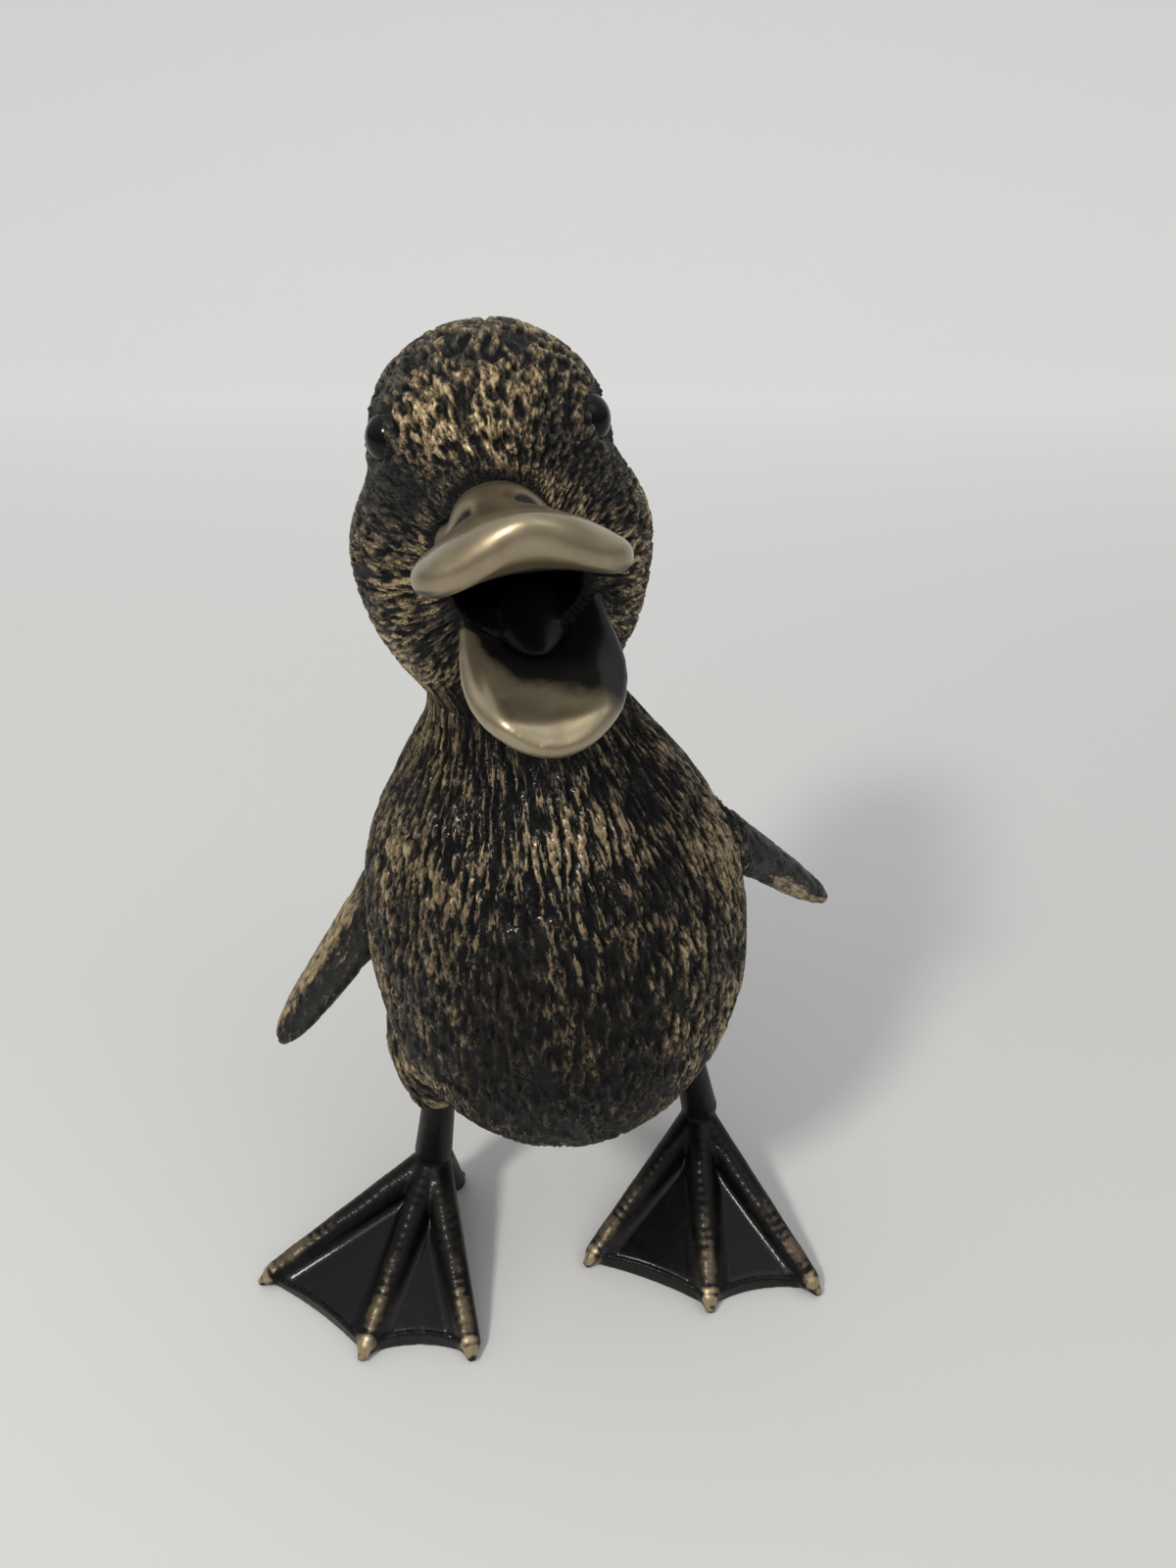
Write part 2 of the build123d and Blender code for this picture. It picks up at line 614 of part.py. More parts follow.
def foot(side):
    """A foot with its ankle over the origin and its middle toe towards -Y."""
    lengths = (INNER_TOE_LENGTH, MIDDLE_TOE_LENGTH, OUTER_TOE_LENGTH)
    toes = list(zip(TOE_SPREADS, lengths if side == LEFT else reversed(lengths)))
    shape = web(toes)
    for bearing, length in toes:
        shape += toe(bearing, length)
    shape += toe(180 + (TOE_SPREADS[0] + TOE_SPREADS[2]) / 2, HIND_TOE_LENGTH)
    shape += Location((0, 0, ANKLE_HEIGHT)) * Sphere(ANKLE_RADIUS)
    reach = 4 * OUTER_TOE_LENGTH
    return shape & (Location((0, 0, THIGH_SEAT / 2)) * Box(reach, reach, THIGH_SEAT))


def leg(side, heading):
    """A leg cast in one with its foot, with a tenon above the thigh's seat."""
    seat = leg_seat(side)
    ankle = seat + Vector(side * LEG_SPLAY + ANKLE_SHIFT, 0, ANKLE_HEIGHT - THIGH_SEAT)
    shape = Location((ankle.X, ankle.Y, 0)) * (Rotation(0, 0, -heading) * foot(side))
    shape += loft([Plane(origin=ankle) * Circle(ANKLE_RADIUS), Plane(origin=seat) * Circle(SHANK_RADIUS)])
    shape += rod(LEG_TENON_RADIUS, seat, (0, 0, 1), LEG_TENON_LENGTH)
    return shape - leg_pin_rod(side, PIN_RADIUS + JOINT_GAP)


def leg_socket(side):
    """The blind socket for a leg's tenon in the thigh."""
    depth = LEG_TENON_LENGTH + JOINT_GAP
    return rod(LEG_TENON_RADIUS + JOINT_GAP, leg_seat(side), (0, 0, 1), depth)


# Whole castings


def body_skin():
    """The outside of the body casting: torso, tail and thighs."""
    return torso_skin() + tail_tuft() + thigh(RIGHT) + thigh(LEFT)


def body_casting(skin, core):
    """The hollow body, with its neck bore, sockets, pin holes and plug holes."""
    hole = PIN_RADIUS + JOINT_GAP
    shape = skin - core
    shape -= neck_rod(SLEEVE_RADIUS + JOINT_GAP, TORSO_HEIGHT / 4)
    for cutter in neck_pin_rods(hole)["torso"] + core_plug_rods(CORE_PLUG_RADIUS + JOINT_GAP):
        shape -= cutter
    shape -= belly_plug_rod(BELLY_PLUG_RADIUS + JOINT_GAP)
    for side in (RIGHT, LEFT):
        shape -= leg_socket(side)
        shape -= leg_pin_rod(side, hole)
        shape -= wing_peg(side, JOINT_GAP)
    return shape


def head_casting(skin, hollow):
    """The hollow head, with its mouth, neck bore, eye sockets and sockets for bill and tongue."""
    hole = PIN_RADIUS + JOINT_GAP
    shape = skin - HEAD_FRAME * head_core() - hollow
    shape -= neck_rod(SLEEVE_RADIUS + JOINT_GAP, SLEEVE_LENGTH / 2 + JOINT_GAP)
    for cutter in neck_pin_rods(hole)["head"]:
        shape -= cutter
    for side in (RIGHT, LEFT):
        shape -= eye_bead(side, JOINT_GAP)
    for frame, towards_mouth in BILL_TENONS.values():
        shape -= HEAD_FRAME * bill_tenon(frame, JOINT_GAP)
        shape -= HEAD_FRAME * bill_pin_rod(frame, towards_mouth, hole)
    return shape - HEAD_FRAME * tongue_stem(JOINT_GAP)


def bill(name, shape, skin):
    """A bill cut to lie against the face, with its tenon and the hole for its pin."""
    frame, towards_mouth = BILL_TENONS[name]
    fitted = HEAD_FRAME * shape - skin + HEAD_FRAME * bill_tenon(frame, 0)
    return fitted - HEAD_FRAME * bill_pin_rod(frame, towards_mouth, PIN_RADIUS + JOINT_GAP)


def neck_sleeve():
    """The tube inside the neck that joins head and torso, with its pin holes."""
    shape = neck_rod(SLEEVE_RADIUS, SLEEVE_LENGTH / 2) - neck_rod(SLEEVE_BORE, SLEEVE_LENGTH)
    for cutters in neck_pin_rods(PIN_RADIUS + JOINT_GAP).values():
        for cutter in cutters:
            shape -= cutter
    return shape


def belly_plug(skin, core):
    """The plug in the flat of the belly, with a slot for a screwdriver."""
    slot = Box(2 * BELLY_PLUG_RADIUS, BELLY_PLUG_SLOT, 2 * BELLY_PLUG_SLOT)
    slot = Location((0, 0, GROUND_CLEARANCE)) * slot
    return (belly_plug_rod(BELLY_PLUG_RADIUS) & skin) - core - slot


def make_pieces():
    """Every piece of the figure by its name, standing where the figure was modelled."""
    torso = body_skin()
    core = torso_core()
    head = HEAD_FRAME * head_skin()
    hollow = HEAD_FRAME * mouth_hollow()
    neck_pins = neck_pin_rods(PIN_RADIUS)
    pieces = {}
    pieces["body_casting"] = body_casting(torso, core)
    pieces["head_casting"] = head_casting(head, hollow)
    pieces["neck_sleeve"] = neck_sleeve()
    pieces["neck_pins"] = [pin & torso for pin in neck_pins["torso"]]
    pieces["neck_pins"] += [pin & head for pin in neck_pins["head"]]
    pieces["upper_bill"] = bill("upper_bill", upper_bill_shape(), head)
    for pit in nostrils():
        pieces["upper_bill"] -= pit
    pieces["lower_bill"] = bill("lower_bill", lower_bill_shape(), head)
    pieces["bill_pins"] = [
        HEAD_FRAME * bill_pin_rod(*tenon, PIN_RADIUS) - hollow for tenon in BILL_TENONS.values()
    ]
    tongue = HEAD_FRAME * tongue_shape() - (head - hollow) - pieces["lower_bill"]
    pieces["tongue"] = tongue + HEAD_FRAME * tongue_stem(0)
    pieces["belly_plug"] = belly_plug(torso, core)
    pieces["core_plugs"] = [(plug & torso) - core for plug in core_plug_rods(CORE_PLUG_RADIUS)]
    pieces["leg_pins"] = [leg_pin_rod(side, PIN_RADIUS) & torso for side in (RIGHT, LEFT)]
    pieces["wing_pins"] = [wing_pin(side, 0) for side in (RIGHT, LEFT)]
    for side, name, heading, wing_form in (
        (RIGHT, "right", RIGHT_FOOT_HEADING, (RIGHT_WING_CHORD, RIGHT_WING_TAPER, RIGHT_WING_TWIST)),
        (LEFT, "left", LEFT_FOOT_HEADING, (LEFT_WING_CHORD, LEFT_WING_TAPER, LEFT_WING_TWIST)),
    ):
        pieces[name + "_leg"] = leg(side, heading)
        wing = wing_shape(side, *wing_form) - torso + wing_peg(side, 0)
        pieces[name + "_wing"] = wing - wing_pin(side, JOINT_GAP)
        pieces[name + "_eye"] = eye_bead(side)
    return pieces


def main():
    os.makedirs("parts", exist_ok=True)
    grouped = {}
    for name, piece in make_pieces().items():
        solids = piece if isinstance(piece, list) else [piece]
        grouped[name] = Compound([solid for shape in solids for solid in shape.solids()])
    box = Compound(list(grouped.values())).bounding_box()
    to_origin = Location((-box.center().X, -box.center().Y, -box.min.Z))
    for name, piece in grouped.items():
        export_step(to_origin * piece, os.path.join("parts", name + ".step"))
        print(name, len(piece.solids()), round(piece.volume, 1))
    print("box", box.min, box.max)


main()
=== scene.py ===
# %% [markdown]
# # A cast brass duckling
# The duckling is cast in brass, blackened with patina and then rubbed, so that pale metal shows on
# whatever stands out. The solids give the size and the place of every casting. This lesson dresses
# them: it grows one skin over the castings, works feathers into it, and paints patina and rubbing.

# %% Load the castings
from math import cos, pi, radians, sin

import bmesh
import bpy
import numpy as np
from mathutils import Matrix, Vector, noise
from mathutils.bvhtree import BVHTree


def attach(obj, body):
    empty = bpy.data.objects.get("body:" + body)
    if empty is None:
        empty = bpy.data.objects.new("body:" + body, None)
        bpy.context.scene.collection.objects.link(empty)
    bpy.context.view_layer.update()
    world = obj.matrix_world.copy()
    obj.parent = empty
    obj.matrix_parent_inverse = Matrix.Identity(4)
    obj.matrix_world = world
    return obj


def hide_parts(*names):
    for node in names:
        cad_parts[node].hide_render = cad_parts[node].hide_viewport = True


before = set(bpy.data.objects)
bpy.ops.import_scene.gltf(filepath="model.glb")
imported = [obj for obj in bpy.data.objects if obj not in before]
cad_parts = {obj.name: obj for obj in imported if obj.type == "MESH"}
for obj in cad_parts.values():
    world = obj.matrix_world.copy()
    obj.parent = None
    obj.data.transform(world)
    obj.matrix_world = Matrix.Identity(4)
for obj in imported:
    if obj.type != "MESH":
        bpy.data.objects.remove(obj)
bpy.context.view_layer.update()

MM = 0.001
scene = bpy.context.scene


# %% [markdown]
# ## Places on the figure
# The solids were drawn with the belly over the drawing's origin, and then moved so that the middle of
# the outline stands over the row's origin. `at` turns a place in the drawing, in millimetres, into a
# place here. The head has a frame of its own, because it leans and looks to one side.

# %% Places on the figure
DRAWING_MIDDLE = Vector((-3.6599, 7.4879, 0.0))
NECK_SEAM = Vector((-4.3, 0.0, 104.0))
HEAD_TURN = Matrix.Rotation(radians(-4.2), 3, "Y") @ Matrix.Rotation(radians(10.5), 3, "Z")


def at(x, y, z):
    """A place in the drawing, in millimetres, as a place in this scene."""
    return (Vector((x, y, z)) - DRAWING_MIDDLE) * MM


def on_head(x, y, z):
    """A place in the head's own frame, in millimetres from the neck seam."""
    return at(*(NECK_SEAM + HEAD_TURN @ Vector((x, y, z))))


print("neck seam:", [round(c / MM, 1) for c in on_head(0, 0, 0)])

# %% [markdown]
# ## Studio
# The figure stands on a pale floor that curves up into a backdrop, as a sheet of paper does in a
# photographer's studio. One small lamp at the front left gives the round glints on the bill. A wide,
# weak one at the right and a pale ceiling, which fades towards the horizon, fill the shadows. The
# camera looks down at the figure from close by, so the head looms.

# %% Floor and backdrop
FLOOR_REACH = 1.6
FLOOR_BEHIND = 0.7
BACKDROP_BEND = 0.5
BACKDROP_RISE = 1.2


def only(kind, geometry):
    return [part for part in geometry if isinstance(part, kind)]


def pale_floor():
    """A sheet that runs towards the camera and curves up behind the figure."""
    bm = bmesh.new()
    start = bm.verts.new((-FLOOR_REACH, -FLOOR_REACH, 0))
    end = bm.verts.new((FLOOR_REACH, -FLOOR_REACH, 0))
    edge = bm.edges.new((start, end))
    flat = bmesh.ops.extrude_edge_only(bm, edges=[edge])["geom"]
    moved = only(bmesh.types.BMVert, flat)
    bmesh.ops.translate(bm, verts=moved, vec=(0, FLOOR_REACH + FLOOR_BEHIND, 0))
    back_edge = [e for e in only(bmesh.types.BMEdge, flat) if set(e.verts) == set(moved)]
    turn = bmesh.ops.spin(
        bm,
        geom=moved + back_edge,
        cent=(0, FLOOR_BEHIND, BACKDROP_BEND),
        axis=(1, 0, 0),
        angle=radians(90),
        steps=24,
    )
    top = only(bmesh.types.BMEdge, turn["geom_last"])
    raised = only(bmesh.types.BMVert, bmesh.ops.extrude_edge_only(bm, edges=top)["geom"])
    bmesh.ops.translate(bm, verts=raised, vec=(0, 0, BACKDROP_RISE))
    bmesh.ops.recalc_face_normals(bm, faces=bm.faces)
    mesh = bpy.data.meshes.new("pale_floor")
    bm.to_mesh(mesh)
    bm.free()
    for face in mesh.polygons:
        face.use_smooth = True
    floor = bpy.data.objects.new("pale_floor", mesh)
    scene.collection.objects.link(floor)
    return floor


floor = pale_floor()
paper = bpy.data.materials.new("pale_paper")
paper.use_nodes = True
nodes, links = paper.node_tree.nodes, paper.node_tree.links
paper_shader = nodes["Principled BSDF"]
paper_shader.inputs["Base Color"].default_value = (0.7, 0.7, 0.68, 1)
paper_shader.inputs["Roughness"].default_value = 0.75
paper_shader.inputs["Emission Color"].default_value = (1, 1, 0.98, 1)
rays = nodes.new("ShaderNodeLightPath")
seen = nodes.new("ShaderNodeMath")
seen.operation = "MAXIMUM"
links.new(rays.outputs["Is Camera Ray"], seen.inputs[0])
links.new(rays.outputs["Is Glossy Ray"], seen.inputs[1])
seen_through = nodes.new("ShaderNodeMath")
seen_through.operation = "MAXIMUM"
links.new(seen.outputs[0], seen_through.inputs[0])
links.new(rays.outputs["Is Transmission Ray"], seen_through.inputs[1])
where = nodes.new("ShaderNodeTexCoord")
apart = nodes.new("ShaderNodeSeparateXYZ")
links.new(where.outputs["Object"], apart.inputs[0])
further = nodes.new("ShaderNodeMapRange")
links.new(apart.outputs["Y"], further.inputs["Value"])
further.inputs["From Min"].default_value = 0.05
further.inputs["From Max"].default_value = 0.6
further.inputs["To Max"].default_value = 0.27
paleness = nodes.new("ShaderNodeMath")
paleness.operation = "MULTIPLY"
links.new(seen_through.outputs[0], paleness.inputs[0])
links.new(further.outputs["Result"], paleness.inputs[1])
links.new(paleness.outputs[0], paper_shader.inputs["Emission Strength"])
floor.data.materials.append(paper)
print("floor faces:", len(floor.data.polygons))

# %% Lamps and world
BREAST_HEIGHT = 85
scene.view_settings.view_transform = "Standard"


def soft_lamp(name, towards, distance, size, watts, colour):
    """A round lamp that shines on the figure's breast from a direction."""
    data = bpy.data.lights.new(name, "AREA")
    data.shape = "DISK"
    data.size = size
    data.energy = watts
    data.color = colour
    lamp = bpy.data.objects.new(name, data)
    direction = Vector(towards).normalized()
    lamp.location = at(0, 0, BREAST_HEIGHT) + direction * distance
    lamp.rotation_euler = direction.to_track_quat("Z", "Y").to_euler()
    scene.collection.objects.link(lamp)


soft_lamp(
    "key_lamp", towards=(-81, -104, 126), distance=0.6, size=0.09, watts=1.9, colour=(1.0, 0.97, 0.92)
)
soft_lamp(
    "fill_lamp", towards=(90, -60, 150), distance=0.9, size=0.5, watts=0.6, colour=(0.95, 0.97, 1.0)
)

world = bpy.data.worlds.new("pale_room")
scene.world = world
world.use_nodes = True
room = world.node_tree.nodes["Background"]
room.inputs["Color"].default_value = (0.87, 0.88, 0.9, 1)
looking = world.node_tree.nodes.new("ShaderNodeTexCoord")
split = world.node_tree.nodes.new("ShaderNodeSeparateXYZ")
world.node_tree.links.new(looking.outputs["Generated"], split.inputs[0])
ceiling = world.node_tree.nodes.new("ShaderNodeMapRange")
world.node_tree.links.new(split.outputs["Z"], ceiling.inputs["Value"])
ceiling.inputs["From Max"].default_value = 0.9
ceiling.inputs["To Min"].default_value = 0.2
ceiling.inputs["To Max"].default_value = 0.85
world.node_tree.links.new(ceiling.outputs["Result"], room.inputs["Strength"])

# %% Camera
CAMERA_PLACE = (4, -118, 163)
CAMERA_PITCH = 32.1
camera_data = bpy.data.cameras.new("camera")
camera_data.lens = 24.975
camera_data.sensor_width = 36
camera_data.clip_start = 0.005
camera = bpy.data.objects.new("camera", camera_data)
camera.location = at(*CAMERA_PLACE)
camera.rotation_euler = (radians(90 - CAMERA_PITCH), 0, 0)
scene.collection.objects.link(camera)
scene.camera = camera
print("camera:", [round(c / MM) for c in camera.location], "mm")

# %% [markdown]
# ## One skin over the castings
# On the real figure the joints between the castings are soldered, filed flush and lost under the
# feathers. So the solids are copied together, merged, and covered by one even skin with a Remesh
# modifier, which bridges the solder gaps and drops the hollows inside. A Smooth modifier then rounds
# the meeting lines, as a wax modeller's thumb does. Sculpting one skin and cutting it afterwards keeps
# the feathers running on across every joint.

# %% Grow a skin
HIDDEN_INSIDE = [
    "neck_sleeve", "neck_pins", "bill_pins", "leg_pins", "wing_pins", "core_plugs", "belly_plug",
]
NECK_JOINT = ["neck_sleeve", "neck_pins"]
WINGS = ["right_wing", "left_wing"]
BODY_NODES = ["body_casting", "core_plugs", "belly_plug", "leg_pins", "wing_pins"]
HEAD_NODES = ["head_casting", "right_eye", "left_eye"]
BILLS = ["upper_bill", "lower_bill"]
BODY_GRAIN, BODY_ROUNDS = 0.27 * MM, 60
HEAD_GRAIN, HEAD_ROUNDS = 0.19 * MM, 34


def joined(names):
    """Copies of castings in one bmesh, with their loose triangles merged."""
    bm = bmesh.new()
    for name in names:
        bm.from_mesh(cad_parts[name].data)
    bmesh.ops.remove_doubles(bm, verts=bm.verts, dist=1e-7)
    return bm


def settle(obj):
    """Bakes an object's modifiers into its mesh."""
    graph = bpy.context.evaluated_depsgraph_get()
    baked = bpy.data.meshes.new_from_object(
        obj.evaluated_get(graph), preserve_all_data_layers=True, depsgraph=graph
    )
    obj.modifiers.clear()
    obj.data = baked
    return obj


def skin_over(title, names, grain, rounds):
    """An even skin over several castings, smoothed a number of rounds."""
    bm = joined(names)
    mesh = bpy.data.meshes.new(title)
    bm.to_mesh(mesh)
    bm.free()
    obj = bpy.data.objects.new(title, mesh)
    scene.collection.objects.link(obj)
    remesh = obj.modifiers.new("even_grain", "REMESH")
    remesh.mode = "VOXEL"
    remesh.voxel_size = grain
    thumb = obj.modifiers.new("thumb", "SMOOTH")
    thumb.factor = 0.5
    thumb.iterations = rounds
    settle(obj)
    print(title, "skin:", len(obj.data.polygons), "faces")
    return obj


under_body = BODY_NODES + WINGS + NECK_JOINT + ["head_casting"]
under_head = BODY_NODES + HEAD_NODES + BILLS + ["tongue"] + NECK_JOINT + ["bill_pins"]
body_skin = skin_over("body", under_body, BODY_GRAIN, BODY_ROUNDS)
head_skin = skin_over("head", under_head, HEAD_GRAIN, HEAD_ROUNDS)

# %% [markdown]
# ## Cutting the skin into its pieces
# Each face belongs to the casting that lies nearest under it. A BVH tree answers that quickly. The
# faces of other castings are deleted, and the open edges are filled, so every piece is closed again.

# %% Cut the skin
def tree_of(names):
    bm = joined(names)
    tree = BVHTree.FromBMesh(bm)
    bm.free()
    return tree


def close_cut(title, bm):
    """Fills the open edges with sharp-edged caps and makes an object of the result."""
    rims = [edge for edge in bm.edges if edge.is_boundary]
    bmesh.ops.holes_fill(bm, edges=rims, sides=0)
    for face in bm.faces:
        face.smooth = True
    for edge in rims:
        edge.smooth = False
    mesh = bpy.data.meshes.new(title)
    bm.to_mesh(mesh)
    bm.free()
    obj = bpy.data.objects.new(title, mesh)
    scene.collection.objects.link(obj)
    print(title, len(mesh.polygons), "faces")
    return obj


def cut_out(title, skin, wanted, others):
    """A new object with the faces of a skin that lie nearest to the wanted castings."""
    mine = tree_of(wanted)
    theirs = tree_of(others)
    bm = bmesh.new()
    bm.from_mesh(skin.data)
    foreign = []
    for face in bm.faces:
        middle = face.calc_center_median()
        if theirs.find_nearest(middle)[3] < mine.find_nearest(middle)[3]:
            foreign.append(face)
    bmesh.ops.delete(bm, geom=foreign, context="FACES")
    return close_cut(title, bm)


def trim_at_neck(skin, keep_head):
    """Cuts a skin along the neck seam and throws the other side away."""
    bm = bmesh.new()
    bm.from_mesh(skin.data)
    bmesh.ops.bisect_plane(
        bm,
        geom=bm.verts[:] + bm.edges[:] + bm.faces[:],
        plane_co=on_head(0, 0, 0),
        plane_no=HEAD_TURN @ Vector((0, 0, 1)),
        clear_outer=not keep_head,
        clear_inner=keep_head,
    )
    bm.to_mesh(skin.data)
    bm.free()
    print(skin.name, "trimmed to", len(skin.data.polygons), "faces")


trim_at_neck(body_skin, keep_head=False)
trim_at_neck(head_skin, keep_head=True)
body = cut_out("duckling_body", body_skin, BODY_NODES, WINGS)
right_wing = cut_out("right_wing_skin", body_skin, ["right_wing"], BODY_NODES + ["left_wing"])
left_wing = cut_out("left_wing_skin", body_skin, ["left_wing"], BODY_NODES + ["right_wing"])
head = cut_out("duckling_head", head_skin, HEAD_NODES, BILLS + ["tongue"])
upper_bill = cut_out(
    "upper_bill_skin", head_skin, ["upper_bill"], HEAD_NODES + ["lower_bill", "tongue"]
)
lower_bill = cut_out(
    "lower_bill_skin", head_skin, ["lower_bill"], HEAD_NODES + ["upper_bill", "tongue"]
)
tongue = cut_out("tongue_skin", head_skin, ["tongue"], HEAD_NODES + BILLS)
for skin in (body_skin, head_skin):
    bpy.data.objects.remove(skin)

# %% [markdown]
# ## Feathers
# The modeller drew the down with a wire tool: narrow wandering grooves that leave flat-topped ridges
# between them. They run down the body from the neck, and on the head they run away from the bill.
# Stretched noise makes such ridges: the surface gets coordinates around and along the flow, and the
# noise is squeezed around and drawn out along it. A second bend of the coordinates lets ridges fork
# and join. Blender draws the offsets of that bend from the clock unless a seed is set, so one is set.
# The height is kept on the mesh as `raised`, because the rubbing needs it later.

# %% Read and write a mesh
def places(obj):
    """The vertices of a piece in the drawing's millimetres."""
    flat = np.empty(len(obj.data.vertices) * 3)
    obj.data.vertices.foreach_get("co", flat)
    return flat.reshape(-1, 3) / MM + np.array(DRAWING_MIDDLE)


def normals(obj):
    flat = np.empty(len(obj.data.vertices) * 3)
    obj.data.vertex_normals.foreach_get("vector", flat)
    return flat.reshape(-1, 3)


def move_to(obj, spots):
    """Puts the vertices of a piece at places in the drawing's millimetres."""
    obj.data.vertices.foreach_set("co", ((spots - np.array(DRAWING_MIDDLE)) * MM).ravel())
    obj.data.update()


def keep(obj, name, values):
    """Stores one number per vertex under a name that a material can read."""
    attribute = obj.data.attributes.new(name, "FLOAT", "POINT")
    attribute.data.foreach_set("value", np.clip(values, 0, 1).astype(np.float32))


def keep_flow(obj, flow):
    """Stores places around and along the feathers, in millimetres, for the fine strands."""
    attribute = obj.data.attributes.new("flow", "FLOAT_VECTOR", "POINT")
    attribute.data.foreach_set("vector", flow.astype(np.float32).ravel())


def ranked(values):
    """The share of all vertices that lie lower than each one."""
    order = np.empty(len(values))
    order[np.argsort(values, kind="stable")] = np.arange(len(values)) / len(values)
    return order


def step(low, high, values):
    """A smooth rise from 0 at low to 1 at high, which may be below low."""
    share = np.clip((values - low) / (high - low), 0, 1)
    return share * share * (3 - 2 * share)


def blob(spots, centre, radius):
    """1 at a place, falling softly to 0 about two radii away."""
    away = np.linalg.norm((spots - np.array(centre)) / np.array(radius), axis=1)
    return np.exp(-(away**2))


def distance_to(names, spots):
    """How far each place is from the surface of some castings, in millimetres."""
    tree = tree_of(names)
    return np.array([tree.find_nearest(at(*spot))[3] for spot in spots]) / MM


def thin_out(piece, triangles):
    """Drops vertices where the surface is plain, until about a number of triangles is left."""
    piece.data.calc_loop_triangles()
    before = len(piece.data.loop_triangles)
    if before > triangles:
        sieve = piece.modifiers.new("sieve", "DECIMATE")
        sieve.ratio = triangles / before
        settle(piece)
        piece.data.calc_loop_triangles()
    print(piece.name, "triangles:", before, "to", len(piece.data.loop_triangles))


# %% Flow of the feathers
FEATHER_SEED = 7
noise.seed_set(FEATHER_SEED)


def head_places(spots):
    """Places in the head's own frame."""
    return (spots - np.array(NECK_SEAM)) @ np.array(HEAD_TURN)


def body_flow(spots):
    """Coordinates around the body and down it, in millimetres."""
    x, y, z = spots.T
    rise = np.clip((z - 63) / 41, 0, 1)
    across = x + 4.3 * rise**1.4
    forward = 3.4 * (1 - rise) - y
    bearing = np.arctan2(across, forward)
    fall = np.arctan2(np.hypot(across, forward), z - 66)
    return np.column_stack([np.cos(bearing) * 26, np.sin(bearing) * 26, fall * 32])


def bill_flow(head_spots):
    """Coordinates around the bill and away from it over the head, in millimetres."""
    x, y, z = (head_spots - np.array((0, -1, 20))).T
    bearing = np.arctan2(x, z)
    spread = np.arctan2(np.hypot(x, z), -y)
    return np.column_stack([np.cos(bearing) * 15, np.sin(bearing) * 15, spread * 16])


def wandering_noise(flow, width, length, bend, seed):
    """Noise that is squeezed around the flow and drawn out along it, one value per vertex."""
    points = flow / np.array((width, width, length)) + seed
    values = np.empty(len(points))
    for number, point in enumerate(points):
        place = Vector(point)
        place += bend * noise.noise_vector(place * 0.4)
        values[number] = noise.noise(place)
    return values


def wire_marks(flow, width, length, seed):
    """Strands with narrow grooves drawn into them, from 0 in a groove to 1 on a strand."""
    strand = step(-0.3, 0.14, wandering_noise(flow, width, length, 0.7, seed))
    line = wandering_noise(flow, width * 0.75, length * 0.6, 0.6, seed + 31.7)
    groove = step(0.0, 0.2, np.abs(line))
    return strand * (0.4 + 0.6 * groove)


def feather_relief(spots):
    """Height of the feathers, from 0 to 1, anywhere on the body or the head."""
    on = head_places(spots)
    spread = bill_flow(on)[:, 2] / 16
    on_head_share = step(1.0, 8.0, on[:, 2]) * step(2.5, 2.0, spread)
    crown_share = on_head_share * step(24.0, 30.0, on[:, 2])
    relief = np.zeros(len(spots))
    layers = (
        (1 - on_head_share, body_flow(spots), 0.85, 3.2, 3.1),
        (on_head_share - crown_share, bill_flow(on), 0.52, 1.9, 11.9),
        (crown_share, bill_flow(on), 0.85, 1.25, 23.3),
    )
    for share, flow, width, length, seed in layers:
        used = share > 0.001
        relief[used] += share[used] * wire_marks(flow[used], width, length, seed)
    return relief


def lumps(spots, size, seed):
    """Slow swellings of the surface, one value per vertex."""
    return np.array([noise.noise(Vector(spot) / size + Vector((seed, 0, 0))) for spot in spots])


# %% Feather the body
SKIN_LIFT = 0.06
SWELL_SEED, RUB_SEED = 5.0, 71.0
MOST_TRIANGLES = 195000
BIB_PLACE, BIB_REACH = (-1.5, -22, 91.5), (15, 16, 12)


def feather_body(piece):
    """Works in the feathers; stores where it is raised, rubbed, glossy and painted with sheen."""
    spots = places(piece)
    relief = feather_relief(spots)
    x, z = spots[:, 0], spots[:, 2]
    bib = blob(spots, BIB_PLACE, BIB_REACH)
    belly = step(56, 40, z)
    depth = 0.52 + 0.2 * bib - 0.12 * belly
    height = SKIN_LIFT + depth * relief + 0.3 * lumps(spots, 7.0, SWELL_SEED)
    move_to(piece, spots + normals(piece) * height[:, None])
    flanks = step(9, 22, np.abs(x)) + 0.6 * step(9, 20, x)
    neck = step(92, 100, z)
    rub = 0.12 + 0.19 * bib + 0.2 * flanks + 0.02 * belly - 0.04 * neck
    rub += 0.36 * lumps(spots, 8.0, RUB_SEED)
    keep(piece, "raised", ranked(relief))
    keep(piece, "rub", rub)
    keep(piece, "gloss", 1.4 * bib)
    # Painted sheen: the flanks' patina is painted a paler grey, as light glancing off it would look.
    keep(piece, "painted_sheen", 0.5 * step(9, 22, np.abs(x)) * (1 - bib) * (1 - neck))
    keep_flow(piece, body_flow(spots))
    thin_out(piece, MOST_TRIANGLES)
    print(piece.name, "feathers up to", round(float(depth.max()), 2), "mm")


feather_body(body)

# %% [markdown]
# ## Head
# The head carries finer marks. Round each eye the skin is drawn in behind the bead and lifted again as
# a lid, the hollow between eye and bill is smooth and almost black, and the mouth is black inside.

# %% Feather the head
EYE_RADIUS = 2.8
EYES = [
    ((-10.26, -1.77, 30.3), (-0.968, -0.251, 0.0)),
    ((9.67, -3.56, 30.3), (0.926, -0.378, 0.0)),
]
LORES = [((-8.6, -8.6, 26.5), 0.7), ((8.2, -9.0, 27.0), 0.2)]
LORE_REACH = (2.8, 3.8, 3.4)


